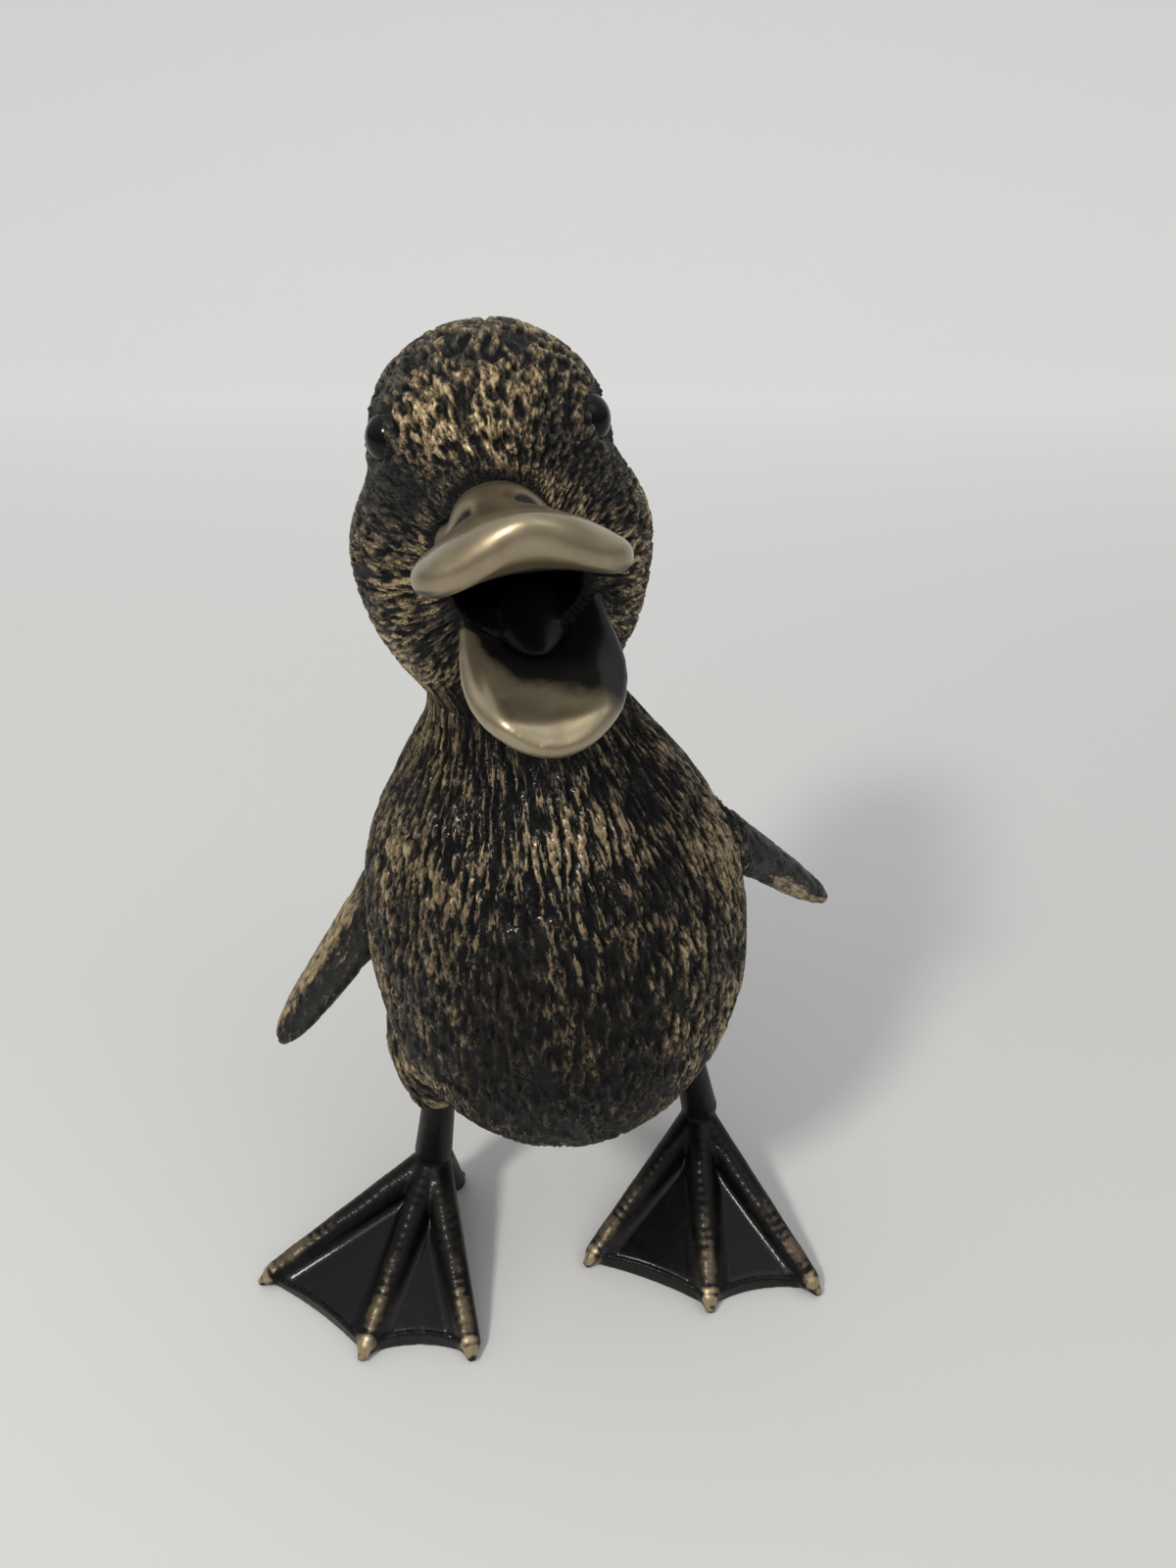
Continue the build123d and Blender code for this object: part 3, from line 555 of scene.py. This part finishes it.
def mouth_share(on):
    """1 inside the hollow of the mouth and 0 outside, for places in the head's frame."""
    x, y, z = on.T
    deep = np.clip((y + 16.1) / 14, 0, 1)
    across = x / (7.2 - 3.0 * deep)
    upright = (z - 17) / (4.6 - 2.0 * deep)
    around = step(1.3, 1.02, np.hypot(across, upright))
    return around * step(-18.5, -16.5, y) * step(3.0, 0.0, y)


def feather_head(piece):
    """Works the feathers, eyelids and lores into the head."""
    spots = places(piece)
    on = head_places(spots)
    outward = normals(piece)
    near_bill = step(0.8, 0.1, distance_to(BILLS, spots))
    brow = step(4.5, 0.3, distance_to(["upper_bill"], spots)) * step(19, 23, on[:, 2])
    maw = mouth_share(on)
    lore = np.clip(sum(dark * blob(on, place, LORE_REACH) for place, dark in LORES), 0, 1)
    relief = feather_relief(spots)
    marks = relief * (1 - maw) * (1 - 0.6 * lore) * (1 - near_bill)
    crown = step(24, 31, on[:, 2])
    depth = 0.36 + 0.08 * crown
    height = depth * marks + 0.2 * lumps(spots, 6.0, SWELL_SEED) * (1 - near_bill)
    height -= 0.5 * lore * (1 - near_bill)
    lids = np.zeros((len(spots), 3))
    dark_ring = np.zeros(len(spots))
    for eye, looks in EYES:
        away = np.linalg.norm(on - np.array(eye), axis=1)
        height *= step(EYE_RADIUS + 0.1, EYE_RADIUS + 1.2, away)
        ring = np.exp(-(((away - EYE_RADIUS - 0.9) / 0.5) ** 2))
        lids += 0.4 * ring[:, None] * (np.array(HEAD_TURN) @ np.array(looks))
        dark_ring += np.exp(-((away / (EYE_RADIUS + 1.6)) ** 4))
    swell = on - np.array((-0.7, 4.0, 21.0))
    swell = (swell / np.linalg.norm(swell, axis=1)[:, None]) @ np.array(HEAD_TURN).T
    lift = (SKIN_LIFT + height) * (1 - maw)
    moved = spots + outward * lift[:, None] + lids + 0.8 * brow[:, None] * swell
    for eye, looks in EYES:
        centre = np.array(NECK_SEAM) + np.array(HEAD_TURN) @ np.array(eye)
        arm = spots - centre
        away = np.linalg.norm(arm, axis=1)
        sunk = away < EYE_RADIUS + 0.25
        moved[sunk] = centre + arm[sunk] / away[sunk][:, None] * (EYE_RADIUS - 0.4)
    move_to(piece, moved)
    forehead = blob(on, (-0.5, -9, 34), (7, 8, 7))
    cheek = sum(blob(on, (side * 13, -8, 14), (7, 9, 9)) for side in (-1, 1))
    back_of_crown = step(33, 39, on[:, 2]) * step(-6, 2, on[:, 1])
    rub = 0.31 + 0.2 * forehead + 0.06 * cheek - 0.04 * back_of_crown
    rub += 0.34 * lumps(spots, 7.0, RUB_SEED)
    rub = rub - 0.9 * maw - 0.3 * lore - 0.4 * dark_ring
    keep(piece, "raised", ranked(marks))
    keep(piece, "rub", rub)
    keep(piece, "gloss", 0.5 * lore + 0.5 * dark_ring)
    # Painted sheen: the head's patina is painted a paler grey, most on the crown, which faces the
    # light.
    painted_sheen = (0.45 + 0.15 * crown + 0.25 * back_of_crown) * step(6, 14, on[:, 2])
    keep(piece, "painted_sheen", painted_sheen * (1 - maw) * (1 - lore) * np.clip(1 - 0.7 * dark_ring, 0, 1))
    flow = bill_flow(on) * np.column_stack([np.full((len(on), 2), 1.2), 1.1 + 0.9 * crown])
    on_neck = on[:, 2] < 4.5
    flow[on_neck] = body_flow(spots[on_neck])
    keep_flow(piece, flow)
    thin_out(piece, MOST_TRIANGLES)
    print(piece.name, "feathers up to", round(float(depth.max()), 2), "mm")


feather_head(head)

# %% [markdown]
# ## Wings, bill and feet: what stands out is rubbed
# A hand and a polishing cloth touch edges first. A copy of a piece that is smoothed for many rounds
# shrinks back from its edges, so the distance from the copy out to the piece tells how much a place
# stands out.

# %% Find what stands out
def softened(piece, rounds):
    """Where the vertices of a piece lie in a copy that is smoothed a number of rounds."""
    copy = piece.copy()
    copy.data = piece.data.copy()
    scene.collection.objects.link(copy)
    cloth = copy.modifiers.new("cloth", "SMOOTH")
    cloth.factor = 0.5
    cloth.iterations = rounds
    settle(copy)
    soft = places(copy)
    bpy.data.objects.remove(copy)
    return soft


def stand_out(piece, rounds):
    """How far each vertex stands out of a smoothed copy of its piece, in millimetres."""
    return ((places(piece) - softened(piece, rounds)) * normals(piece)).sum(axis=1)


# %% Feather the wings
def edge_share(along, across):
    """0 at one edge of a wing and 1 at the other, measured in short steps along it."""
    stations = np.linspace(along.min(), along.max(), 25)
    which = np.clip(np.searchsorted(stations, along), 1, 24)
    low = np.array([across[which == n].min() for n in range(1, 25)])
    high = np.array([across[which == n].max() for n in range(1, 25)])
    middles = (stations[1:] + stations[:-1]) / 2
    low, high = np.interp(along, middles, low), np.interp(along, middles, high)
    return (across - low) / (high - low)


def feather_wing(piece, shoulder, tip, rubbed_edge, rubbed_share, rubbed_from):
    """Marks along a wing, a hollow face, and a band of bare metal along one edge."""
    spots = places(piece)
    outward = normals(piece)
    spine = (Vector(tip) - Vector(shoulder)).normalized()
    across = spine.orthogonal().normalized()
    flow = spots @ np.array((across, spine.cross(across), spine)).T
    at_root = step(5.0, 0.5, distance_to(["body_casting"], spots))
    relief = at_root * feather_relief(spots) + (1 - at_root) * wire_marks(flow, 0.8, 2.8, 47.0)
    share = edge_share(flow[:, 2], spots @ np.array(Vector(rubbed_edge).normalized()))
    reach = (flow[:, 2] - flow[:, 2].min()) / np.ptp(flow[:, 2])
    front = step(-0.2, 0.4, -outward[:, 1])
    hollow = np.exp(-(((share - 0.45) / 0.22) ** 2)) * front * (1 - at_root)
    hollow *= step(0.98, 0.8, reach)
    band = step(rubbed_share, rubbed_share + 0.2, share + 0.1 * lumps(spots, 3.0, 13.0))
    band *= step(rubbed_from, rubbed_from + 0.2, reach)
    depth = 0.16 + 0.3 * at_root - 0.08 * hollow
    height = SKIN_LIFT + depth * relief - 0.6 * hollow + 0.15 * band * front
    move_to(piece, spots + outward * height[:, None])
    keep(piece, "raised", ranked(relief) * (1 - 0.7 * band) + 0.5 * band)
    keep(piece, "rub", 0.2 * at_root + 0.62 * band * (1 - 0.6 * at_root))
    keep(piece, "gloss", 0.7 * hollow + 0.25 * (1 - at_root) * (1 - band))
    keep_flow(piece, flow)
    print(piece.name, "band of bare metal on", round(100 * float(band.mean())), "% of it")


feather_wing(
    right_wing, shoulder=(-20, 5, 76.5), tip=(-46, 8, 35),
    rubbed_edge=(-0.85, 0.0, 0.53), rubbed_share=0.66, rubbed_from=0.05,
)
feather_wing(
    left_wing, shoulder=(20, 5, 79.4), tip=(42.4, 20, 54.7),
    rubbed_edge=(-0.74, 0.0, -0.67), rubbed_share=0.28, rubbed_from=0.42,
)

# %% [markdown]
# ## Bill
# The bill is the one smooth casting: chased, polished and handled. A shallow groove sets off the thick
# front lip. Sooty black patina stays where no cloth reaches: in the nostrils and along the feathers.
# Black is also painted on the faces under the upper half that look down, back from its tip. Down in the
# scoop of the lower half the black is patina and painted shade: it reaches further on the side away
# from the key lamp, and less of it is painted on the rim at the lamp's side.

# %% Finish the bill
NOSTRILS = [(-5.3, -17.2, 25.5), (1.7, -17.2, 26.8)]
NOSTRIL_REACH = (1.3, 1.6, 4.0)
UPPER_BILL_LENGTH, LOWER_BILL_LENGTH = 21.5, 22.9
LOWER_BILL_ROOT, LOWER_BILL_PITCH = (1.0, -9.0, 17.3), radians(28)
DENT_SEED, TIDE_SEED = 9.0, 17.0


def finish_upper_bill(piece):
    """The lip's groove and nostrils, sooty black patina where no cloth reaches and black underneath."""
    spots = places(piece)
    on = head_places(spots)
    outward = normals(piece)
    upright = (outward @ np.array(HEAD_TURN))[:, 2]
    along = (-on[:, 1] - 9) / UPPER_BILL_LENGTH
    pits = sum(blob(on, place, NOSTRIL_REACH) for place in NOSTRILS) * step(-0.4, 0.0, upright)
    eased = spots + 0.9 * step(0.12, 0.35, along)[:, None] * (softened(piece, 220) - spots)
    away = distance_to(["head_casting"], spots)
    height = SKIN_LIFT + 0.45 * step(0.3, 0.6, along) - 0.3 * step(2.0, 0.1, away) - pits
    move_to(piece, eased + outward * (height + 0.06 * lumps(spots, 3.0, DENT_SEED))[:, None])
    under = step(-0.1, -0.5, upright)
    # Sooty black patina in the nostrils and along the feathers, and black painted on downward faces.
    soot_and_shade = 2.0 * pits + 0.6 * step(2.4, 0.1, away) + under * step(0.97, 0.8, along)
    keep(piece, "soot_and_shade", soot_and_shade)
    print(piece.name, "eased by up to", round(float(np.abs(eased - spots).max()), 2), "mm")


def finish_lower_bill(piece):
    """A scoop black to its middle with patina and painted shade, and polished towards its tip."""
    spots = places(piece)
    on = head_places(spots)
    outward = normals(piece)
    points = np.array((0, -cos(LOWER_BILL_PITCH), -sin(LOWER_BILL_PITCH)))
    opens = np.array((0, -sin(LOWER_BILL_PITCH), cos(LOWER_BILL_PITCH)))
    along = ((on - np.array(LOWER_BILL_ROOT)) @ points) / LOWER_BILL_LENGTH
    off_middle = np.abs(on[:, 0] - LOWER_BILL_ROOT[0])
    inside = step(-0.2, 0.3, outward @ np.array(HEAD_TURN) @ opens)
    fill = 1.3 * inside * step(0.25, 0.7, along) * step(7.4, 5.0, off_middle) * step(1.0, 0.88, along)
    filled = spots + fill[:, None] * (np.array(HEAD_TURN) @ opens)
    move_to(piece, filled)
    eased = filled + 0.9 * step(0.1, 0.3, along)[:, None] * (softened(piece, 170) - filled)
    height = SKIN_LIFT + 0.4 * step(0.3, 0.6, along) + 0.06 * lumps(spots, 3.0, DENT_SEED)
    move_to(piece, eased + outward * height[:, None])
    # Patina with painted shade: more black on the side away from the lamp, less on the lamp-side rim.
    tide = along - 0.022 * on[:, 0] + 0.1 * lumps(spots, 4.0, TIDE_SEED)
    rim = step(4.8, 6.6, off_middle) * step(2.0, -4.0, on[:, 0])
    border = step(1.6, 0.1, distance_to(["head_casting"], spots))
    soot_and_shade = 1.3 * inside * step(1.02, 0.38, tide) * (1 - 0.5 * rim) + 0.7 * border
    keep(piece, "soot_and_shade", soot_and_shade)
    print(piece.name, "is", round(float(along.max()), 2), "of its length")


finish_upper_bill(upper_bill)
finish_lower_bill(lower_bill)

# %% [markdown]
# ## Legs
# Each leg is one casting. The toes are ridges with small cross-folds and knuckles, the web is drawn
# thin and hollow between them, and its front rim is rolled.

# %% Grow the legs
LEG_PLACES = {
    "right_leg": ((-21.5, 2.4), 18.5, (31.2, 28.5, 28.2)),
    "left_leg": ((23.1, 11.6), -0.5, (28.2, 28.5, 31.2)),
}
TOE_SPREADS = (44.5, 0.0, -35.0)
KNUCKLES = (0.3, 0.55, 0.8)
FOLD_SPACING = 1.25
LEG_GRAIN, LEG_ROUNDS = 0.2 * MM, 30
LEG_TRIANGLES = 120000


def toe_measures(spots, ankle, bearing):
    """Distance along and across a toe, in millimetres, seen from above."""
    forward = np.array((-sin(radians(bearing)), -cos(radians(bearing))))
    sideways = np.array((-forward[1], forward[0]))
    flat = spots[:, :2] - np.array(ankle)
    return flat @ forward, flat @ sideways


def finish_leg(node):
    """A smooth leg with a hollow web, and cross-folds and knuckles on its toes."""
    ankle, heading, lengths = LEG_PLACES[node]
    piece = skin_over(node + "_skin", [node], LEG_GRAIN, LEG_ROUNDS)
    spots = places(piece)
    outward = normals(piece)
    upward = step(0.0, 0.4, outward[:, 2])
    folds_height = np.zeros(len(spots))
    toes = np.zeros(len(spots))
    claws = np.zeros(len(spots))
    beside = np.full(len(spots), 99.0)
    for spread, length in zip(TOE_SPREADS, lengths):
        along, across = toe_measures(spots, ankle, heading + spread)
        beside = np.minimum(beside, np.abs(across) + 9 * step(1, -1, along))
        ridge = np.exp(-((across / 1.7) ** 2)) * step(3, 6, along) * upward
        folds = 0.5 + 0.5 * np.cos(2 * pi * (along + 0.15 * across**2) / FOLD_SPACING)
        folds_height += ridge * 0.06 * folds
        for knuckle in KNUCKLES:
            swell = np.exp(-(((along - knuckle * length) / 1.4) ** 2) - (across / 1.5) ** 2)
            folds_height += 0.2 * swell * upward
        toes = np.maximum(toes, ridge * step(0.35, 0.75, along / length))
        at_tip = step(-3.2, -1.2, along - length) * step(3.0, 1.5, np.abs(across))
        claws = np.maximum(claws, at_tip)
    away = np.hypot(*(spots[:, :2] - np.array(ankle)).T)
    web = step(1.7, 3.6, beside) * upward * step(4, 9, away) * step(1.0, 2.6, spots[:, 2])
    edge = stand_out(piece, 110)
    floor_free = step(0.0, 0.8, spots[:, 2])
    on_foot = step(17, 13, spots[:, 2])
    slack = 0.75 * on_foot * floor_free * upward
    draped = spots + slack[:, None] * (softened(piece, 60) - spots)
    move_to(piece, draped + outward * ((folds_height - 0.5 * web) * floor_free)[:, None])
    rub = on_foot * (0.3 * step(0.25, 0.7, edge) * step(10, 24, away) + 0.42 * toes + 0.7 * claws)
    keep(piece, "raised", ranked(folds_height + 0.05 * lumps(spots, 1.2, 3.0)))
    keep(piece, "rub", rub)
    keep(piece, "gloss", 0.5 * web + 0.2)
    for face in piece.data.polygons:
        face.use_smooth = True
    thin_out(piece, LEG_TRIANGLES)
    return piece


legs = {node: finish_leg(node) for node in LEG_PLACES}

# %% [markdown]
# ## Finishes
# Effects that several finishes use are node groups. `fine_strands` draws strands that are finer than
# the mesh, along the stored flow of the feathers. `rubbing` turns height and handling into a mask of
# bare metal with ragged borders. `casting_grain` is the fine tooth of a casting, as a height for a Bump
# node. The shaders themselves stay in the materials, which read what was stored on the meshes: `gloss`
# where patina is lacquered, a painted grey sheen on the crown and flanks where light would glance off
# the patina, and sooty black patina with painted shade on the bill.

# %% Node helpers
FLOAT, VECTOR = "NodeSocketFloat", "NodeSocketVector"


def feed(tree, socket, value):
    """Gives an input a plain value or a link."""
    if isinstance(value, bpy.types.NodeSocket):
        tree.links.new(value, socket)
    else:
        socket.default_value = value


def new_group(name, inputs, outputs):
    """An empty node group with named sockets."""
    tree = bpy.data.node_groups.new(name, "ShaderNodeTree")
    for title, kind in inputs:
        tree.interface.new_socket(title, in_out="INPUT", socket_type=kind)
    for title, kind in outputs:
        tree.interface.new_socket(title, in_out="OUTPUT", socket_type=kind)
    return tree, tree.nodes.new("NodeGroupInput"), tree.nodes.new("NodeGroupOutput")


def maths(tree, operation, first, second):
    made = tree.nodes.new("ShaderNodeMath")
    made.operation = operation
    feed(tree, made.inputs[0], first)
    feed(tree, made.inputs[1], second)
    return made.outputs[0]


def scaled(tree, value, factor):
    return maths(tree, "MULTIPLY", value, factor)


def speckle(tree, scale, detail=3.0, roughness=0.55):
    """Noise on the piece's own coordinates, from 0 to 1."""
    coordinates = tree.nodes.new("ShaderNodeTexCoord")
    made = tree.nodes.new("ShaderNodeTexNoise")
    tree.links.new(coordinates.outputs["Object"], made.inputs["Vector"])
    feed(tree, made.inputs["Scale"], scale)
    made.inputs["Detail"].default_value = detail
    made.inputs["Roughness"].default_value = roughness
    return made.outputs["Fac"]


def mottled(tree, scale, least, spread):
    """A value that wanders over the surface above a least value."""
    return maths(tree, "ADD", least, scaled(tree, speckle(tree, scale), spread))


def ramp_between(tree, value, low, high):
    """A soft mask that rises from 0 at low to 1 at high."""
    made = tree.nodes.new("ShaderNodeMapRange")
    made.interpolation_type = "SMOOTHSTEP"
    tree.links.new(value, made.inputs["Value"])
    feed(tree, made.inputs["From Min"], low)
    feed(tree, made.inputs["From Max"], high)
    return made.outputs["Result"]


def blend_colours(tree, share, first, second):
    made = tree.nodes.new("ShaderNodeMix")
    made.data_type = "RGBA"
    for number, value in ((0, share), (6, first), (7, second)):
        feed(tree, made.inputs[number], value)
    return made.outputs[2]


# %% Shared effects
def strand_noise(tree, flow, width, length):
    """Noise that is drawn out along the flow of the feathers, from 0 to 1."""
    squeeze = tree.nodes.new("ShaderNodeVectorMath")
    squeeze.operation = "MULTIPLY"
    tree.links.new(flow, squeeze.inputs[0])
    squeeze.inputs[1].default_value = (1 / width, 1 / width, 1 / length)
    made = tree.nodes.new("ShaderNodeTexNoise")
    tree.links.new(squeeze.outputs[0], made.inputs["Vector"])
    made.inputs["Scale"].default_value = 1.0
    made.inputs["Detail"].default_value = 3.0
    made.inputs["Distortion"].default_value = 0.5
    return made.outputs["Fac"]


def strands_group():
    """Fine strands and thin wandering lines along the feathers, from 0 in a groove to 1."""
    tree, given, result = new_group("fine_strands", [("Flow", VECTOR)], [("Height", FLOAT)])
    strands = ramp_between(tree, strand_noise(tree, given.outputs["Flow"], 0.55, 2.0), 0.34, 0.64)
    off_line = maths(tree, "SUBTRACT", strand_noise(tree, given.outputs["Flow"], 0.42, 1.3), 0.5)
    lines = ramp_between(tree, maths(tree, "ABSOLUTE", off_line, 0.0), 0.06, 0.0)
    height = maths(tree, "ADD", scaled(tree, strands, 0.7), scaled(tree, lines, 0.3))
    tree.links.new(height, result.inputs["Height"])
    return tree


def rubbing_group():
    """Bare metal where height and handling together reach far enough, and how bright it is."""
    outputs = [("Bare Metal", FLOAT), ("Bright", FLOAT)]
    tree, given, result = new_group("rubbing", [("Height", FLOAT), ("Rub", FLOAT)], outputs)
    reach = maths(tree, "ADD", given.outputs["Height"], scaled(tree, given.outputs["Rub"], 0.85))
    reach = maths(tree, "ADD", reach, scaled(tree, speckle(tree, 1100.0, 4.0, 0.6), 0.3))
    tree.links.new(ramp_between(tree, reach, 0.88, 1.18), result.inputs["Bare Metal"])
    tree.links.new(ramp_between(tree, reach, 1.05, 1.45), result.inputs["Bright"])
    return tree


def grain_group():
    """The fine tooth of a casting: a height for a Bump node."""
    tree, given, result = new_group("casting_grain", [("Scale", FLOAT)], [("Height", FLOAT)])
    tree.links.new(speckle(tree, given.outputs["Scale"], 5.0, 0.6), result.inputs["Height"])
    return tree


STRANDS = strands_group()
RUBBING = rubbing_group()
GRAIN = grain_group()
print("shared effects:", STRANDS.name, RUBBING.name, GRAIN.name)

# %% Materials
# Painted sheen: the pale grey that light glancing off the patina would give.
SHEEN_GREY = (0.078, 0.076, 0.071, 1)
PALE_BRASS, DULL_BRASS = (0.37, 0.305, 0.195, 1), (0.28, 0.222, 0.138, 1)
# The black of the bill's sooty patina and of the painted shade in its scoop.
SOOT_AND_SHADE_BLACK = (0.006, 0.006, 0.005, 1)


def new_material(name):
    made = bpy.data.materials.new(name)
    made.use_nodes = True
    return made, made.node_tree, made.node_tree.nodes["Principled BSDF"]


def placed_group(tree, group, **inputs):
    """A group placed in a material, with values or links for its inputs."""
    made = tree.nodes.new("ShaderNodeGroup")
    made.node_tree = group
    for name, value in inputs.items():
        feed(tree, made.inputs[name], value)
    return made.outputs


def stored(tree, name, kind="Fac"):
    """A value or vector that is stored on the mesh."""
    made = tree.nodes.new("ShaderNodeAttribute")
    made.attribute_name = name
    return made.outputs[kind]


def tooth(tree, shader, scale, strength, depth, strands=None):
    """Gives a shader the grain of a casting, over its fine strands if it has them."""
    height = placed_group(tree, GRAIN, Scale=scale)["Height"]
    if strands is not None:
        height = maths(tree, "ADD", strands, scaled(tree, height, 0.35))
    bump = tree.nodes.new("ShaderNodeBump")
    tree.links.new(height, bump.inputs["Height"])
    bump.inputs["Strength"].default_value = strength
    bump.inputs["Distance"].default_value = depth
    tree.links.new(bump.outputs["Normal"], shader.inputs["Normal"])


def patina_finish(
    name, height, strands, groove, dark, brown, tarnished, bright, dull, shiny, specular, depth
):
    """Black patina that is rubbed back to metal, and lacquered where `gloss` is stored."""
    made, tree, shader = new_material(name)
    strands = strands(tree)
    height = height(tree, strands)
    gloss = stored(tree, "gloss")
    rubbed = placed_group(tree, RUBBING, Height=height, Rub=stored(tree, "rub"))
    clouds = ramp_between(tree, speckle(tree, 110.0), 0.42, 0.66)
    patina = blend_colours(tree, clouds, dark, brown)
    # Painted sheen: a paler grey is painted into the patina where the mesh stores it.
    patina = blend_colours(tree, stored(tree, "painted_sheen"), patina, SHEEN_GREY)
    patina = blend_colours(tree, ramp_between(tree, height, 0.2, 0.75), groove, patina)
    patina = blend_colours(tree, scaled(tree, gloss, 0.8), patina, groove)
    handled = maths(tree, "MAXIMUM", rubbed["Bright"], scaled(tree, gloss, 0.6))
    brass = blend_colours(tree, handled, tarnished, bright)
    bare = rubbed["Bare Metal"]
    tree.links.new(blend_colours(tree, bare, patina, brass), shader.inputs["Base Color"])
    tree.links.new(scaled(tree, bare, 0.8), shader.inputs["Metallic"])
    rough = maths(tree, "ADD", scaled(tree, gloss, shiny - dull), dull - 0.1)
    rough = maths(tree, "MAXIMUM", rough, scaled(tree, bare, 0.28))
    tree.links.new(mottled(tree, 420.0, rough, 0.2), shader.inputs["Roughness"])
    tree.links.new(scaled(tree, gloss, 0.3), shader.inputs["Coat Weight"])
    shader.inputs["Coat Roughness"].default_value = 0.08
    shader.inputs["Specular IOR Level"].default_value = specular
    tooth(tree, shader, 2200.0, 0.6, depth, strands)
    return made


def feather_strands(tree):
    return placed_group(tree, STRANDS, Flow=stored(tree, "flow", "Vector"))["Height"]


def feather_height(tree, strands):
    """The ridges of the mesh together with the fine strands on them."""
    ridges = scaled(tree, stored(tree, "raised"), 0.55)
    return maths(tree, "ADD", ridges, scaled(tree, strands, 0.45))


def no_strands(tree):
    return None


def foot_height(tree, strands):
    """The folds and knuckles of the mesh, which carry no strands."""
    return scaled(tree, stored(tree, "raised"), 0.6)


feathers = patina_finish(
    "feather_patina", feather_height, feather_strands,
    groove=(0.002, 0.002, 0.002, 1),
    dark=(0.012, 0.0115, 0.011, 1),
    brown=(0.028, 0.022, 0.015, 1),
    tarnished=(0.13, 0.095, 0.054, 1),
    bright=(0.56, 0.43, 0.255, 1),
    dull=0.42, shiny=0.14, specular=0.12, depth=0.00028,
)
feet_finish = patina_finish(
    "foot_patina", foot_height, no_strands,
    groove=(0.004, 0.004, 0.004, 1),
    dark=(0.007, 0.0065, 0.006, 1),
    brown=(0.018, 0.015, 0.011, 1),
    tarnished=(0.13, 0.1, 0.065, 1),
    bright=(0.4, 0.32, 0.2, 1),
    dull=0.4, shiny=0.24, specular=0.12, depth=0.0001,
)


def bill_finish():
    """Satin brass under thin lacquer, with sooty black patina and painted shade where stored."""
    made, tree, shader = new_material("polished_brass")
    black = ramp_between(tree, mottled(tree, 500.0, stored(tree, "soot_and_shade"), 0.4), 0.35, 1.15)
    clouds = ramp_between(tree, speckle(tree, 190.0), 0.3, 0.75)
    brass = blend_colours(tree, clouds, PALE_BRASS, DULL_BRASS)
    bare = maths(tree, "SUBTRACT", 0.9, scaled(tree, black, 0.9))
    coat = maths(tree, "SUBTRACT", 0.5, scaled(tree, black, 0.4))
    tree.links.new(blend_colours(tree, black, brass, SOOT_AND_SHADE_BLACK), shader.inputs["Base Color"])
    tree.links.new(bare, shader.inputs["Metallic"])
    tree.links.new(mottled(tree, 320.0, 0.3, 0.2), shader.inputs["Roughness"])
    tree.links.new(coat, shader.inputs["Coat Weight"])
    shader.inputs["Coat Roughness"].default_value = 0.05
    shader.inputs["Specular IOR Level"].default_value = 0.25
    tooth(tree, shader, 700.0, 0.08, 0.00015)
    return made


def dark_gloss(name, colour, paler, roughness, specular):
    """A near-black glossy finish with faint smudges."""
    made, tree, shader = new_material(name)
    smudged = blend_colours(tree, speckle(tree, 400.0), colour, paler)
    tree.links.new(smudged, shader.inputs["Base Color"])
    tree.links.new(mottled(tree, 600.0, roughness, 0.08), shader.inputs["Roughness"])
    shader.inputs["Specular IOR Level"].default_value = specular
    tooth(tree, shader, 1500.0, 0.05, 0.0001)
    return made


def turned_brass():
    """Plain brass as it leaves the saw or the lathe."""
    made, tree, shader = new_material("raw_brass")
    shade = blend_colours(tree, speckle(tree, 300.0), (0.66, 0.5, 0.24, 1), (0.5, 0.38, 0.2, 1))
    tree.links.new(shade, shader.inputs["Base Color"])
    shader.inputs["Metallic"].default_value = 1.0
    tree.links.new(mottled(tree, 900.0, 0.28, 0.2), shader.inputs["Roughness"])
    tooth(tree, shader, 2500.0, 0.2, 0.0001)
    return made


bill_brass = bill_finish()
mouth_black = dark_gloss(
    "mouth_patina", colour=(0.005, 0.005, 0.005, 1), paler=(0.010, 0.009, 0.008, 1),
    roughness=0.28, specular=0.2,
)
eye_black = dark_gloss(
    "black_glass", colour=(0.002, 0.002, 0.002, 1), paler=(0.004, 0.004, 0.005, 1),
    roughness=0.07, specular=0.2,
)
raw_brass = turned_brass()
print("finishes:", [m.name for m in bpy.data.materials])

# %% [markdown]
# ## Putting the figure together
# Every piece rides on the one body of the part and stands for its casting. The eyes and the hidden
# pieces are shown as their own solids, with a finish in their material slots.

# %% Ride, replace and paint
DRESSED = (
    (body, feathers, "feather_patina", "body_casting"),
    (head, feathers, "feather_patina", "head_casting"),
    (right_wing, feathers, "feather_patina", "right_wing"),
    (left_wing, feathers, "feather_patina", "left_wing"),
    (upper_bill, bill_brass, "polished_brass", "upper_bill"),
    (lower_bill, bill_brass, "polished_brass", "lower_bill"),
    (tongue, mouth_black, "mouth_patina", "tongue"),
    (legs["right_leg"], feet_finish, "foot_patina", "right_leg"),
    (legs["left_leg"], feet_finish, "foot_patina", "left_leg"),
)
for piece, finish, slot, node in DRESSED:
    piece.data.materials.clear()
    piece.data.materials.append(finish)
    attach(piece, "root")
    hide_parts(node)
shown_solids = {node: raw_brass for node in HIDDEN_INSIDE}
shown_solids.update(right_eye=eye_black, left_eye=eye_black)
for node, finish in shown_solids.items():
    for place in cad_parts[node].material_slots:
        place.material = finish
print("pieces:", len(DRESSED), "solids shown:", len(shown_solids))
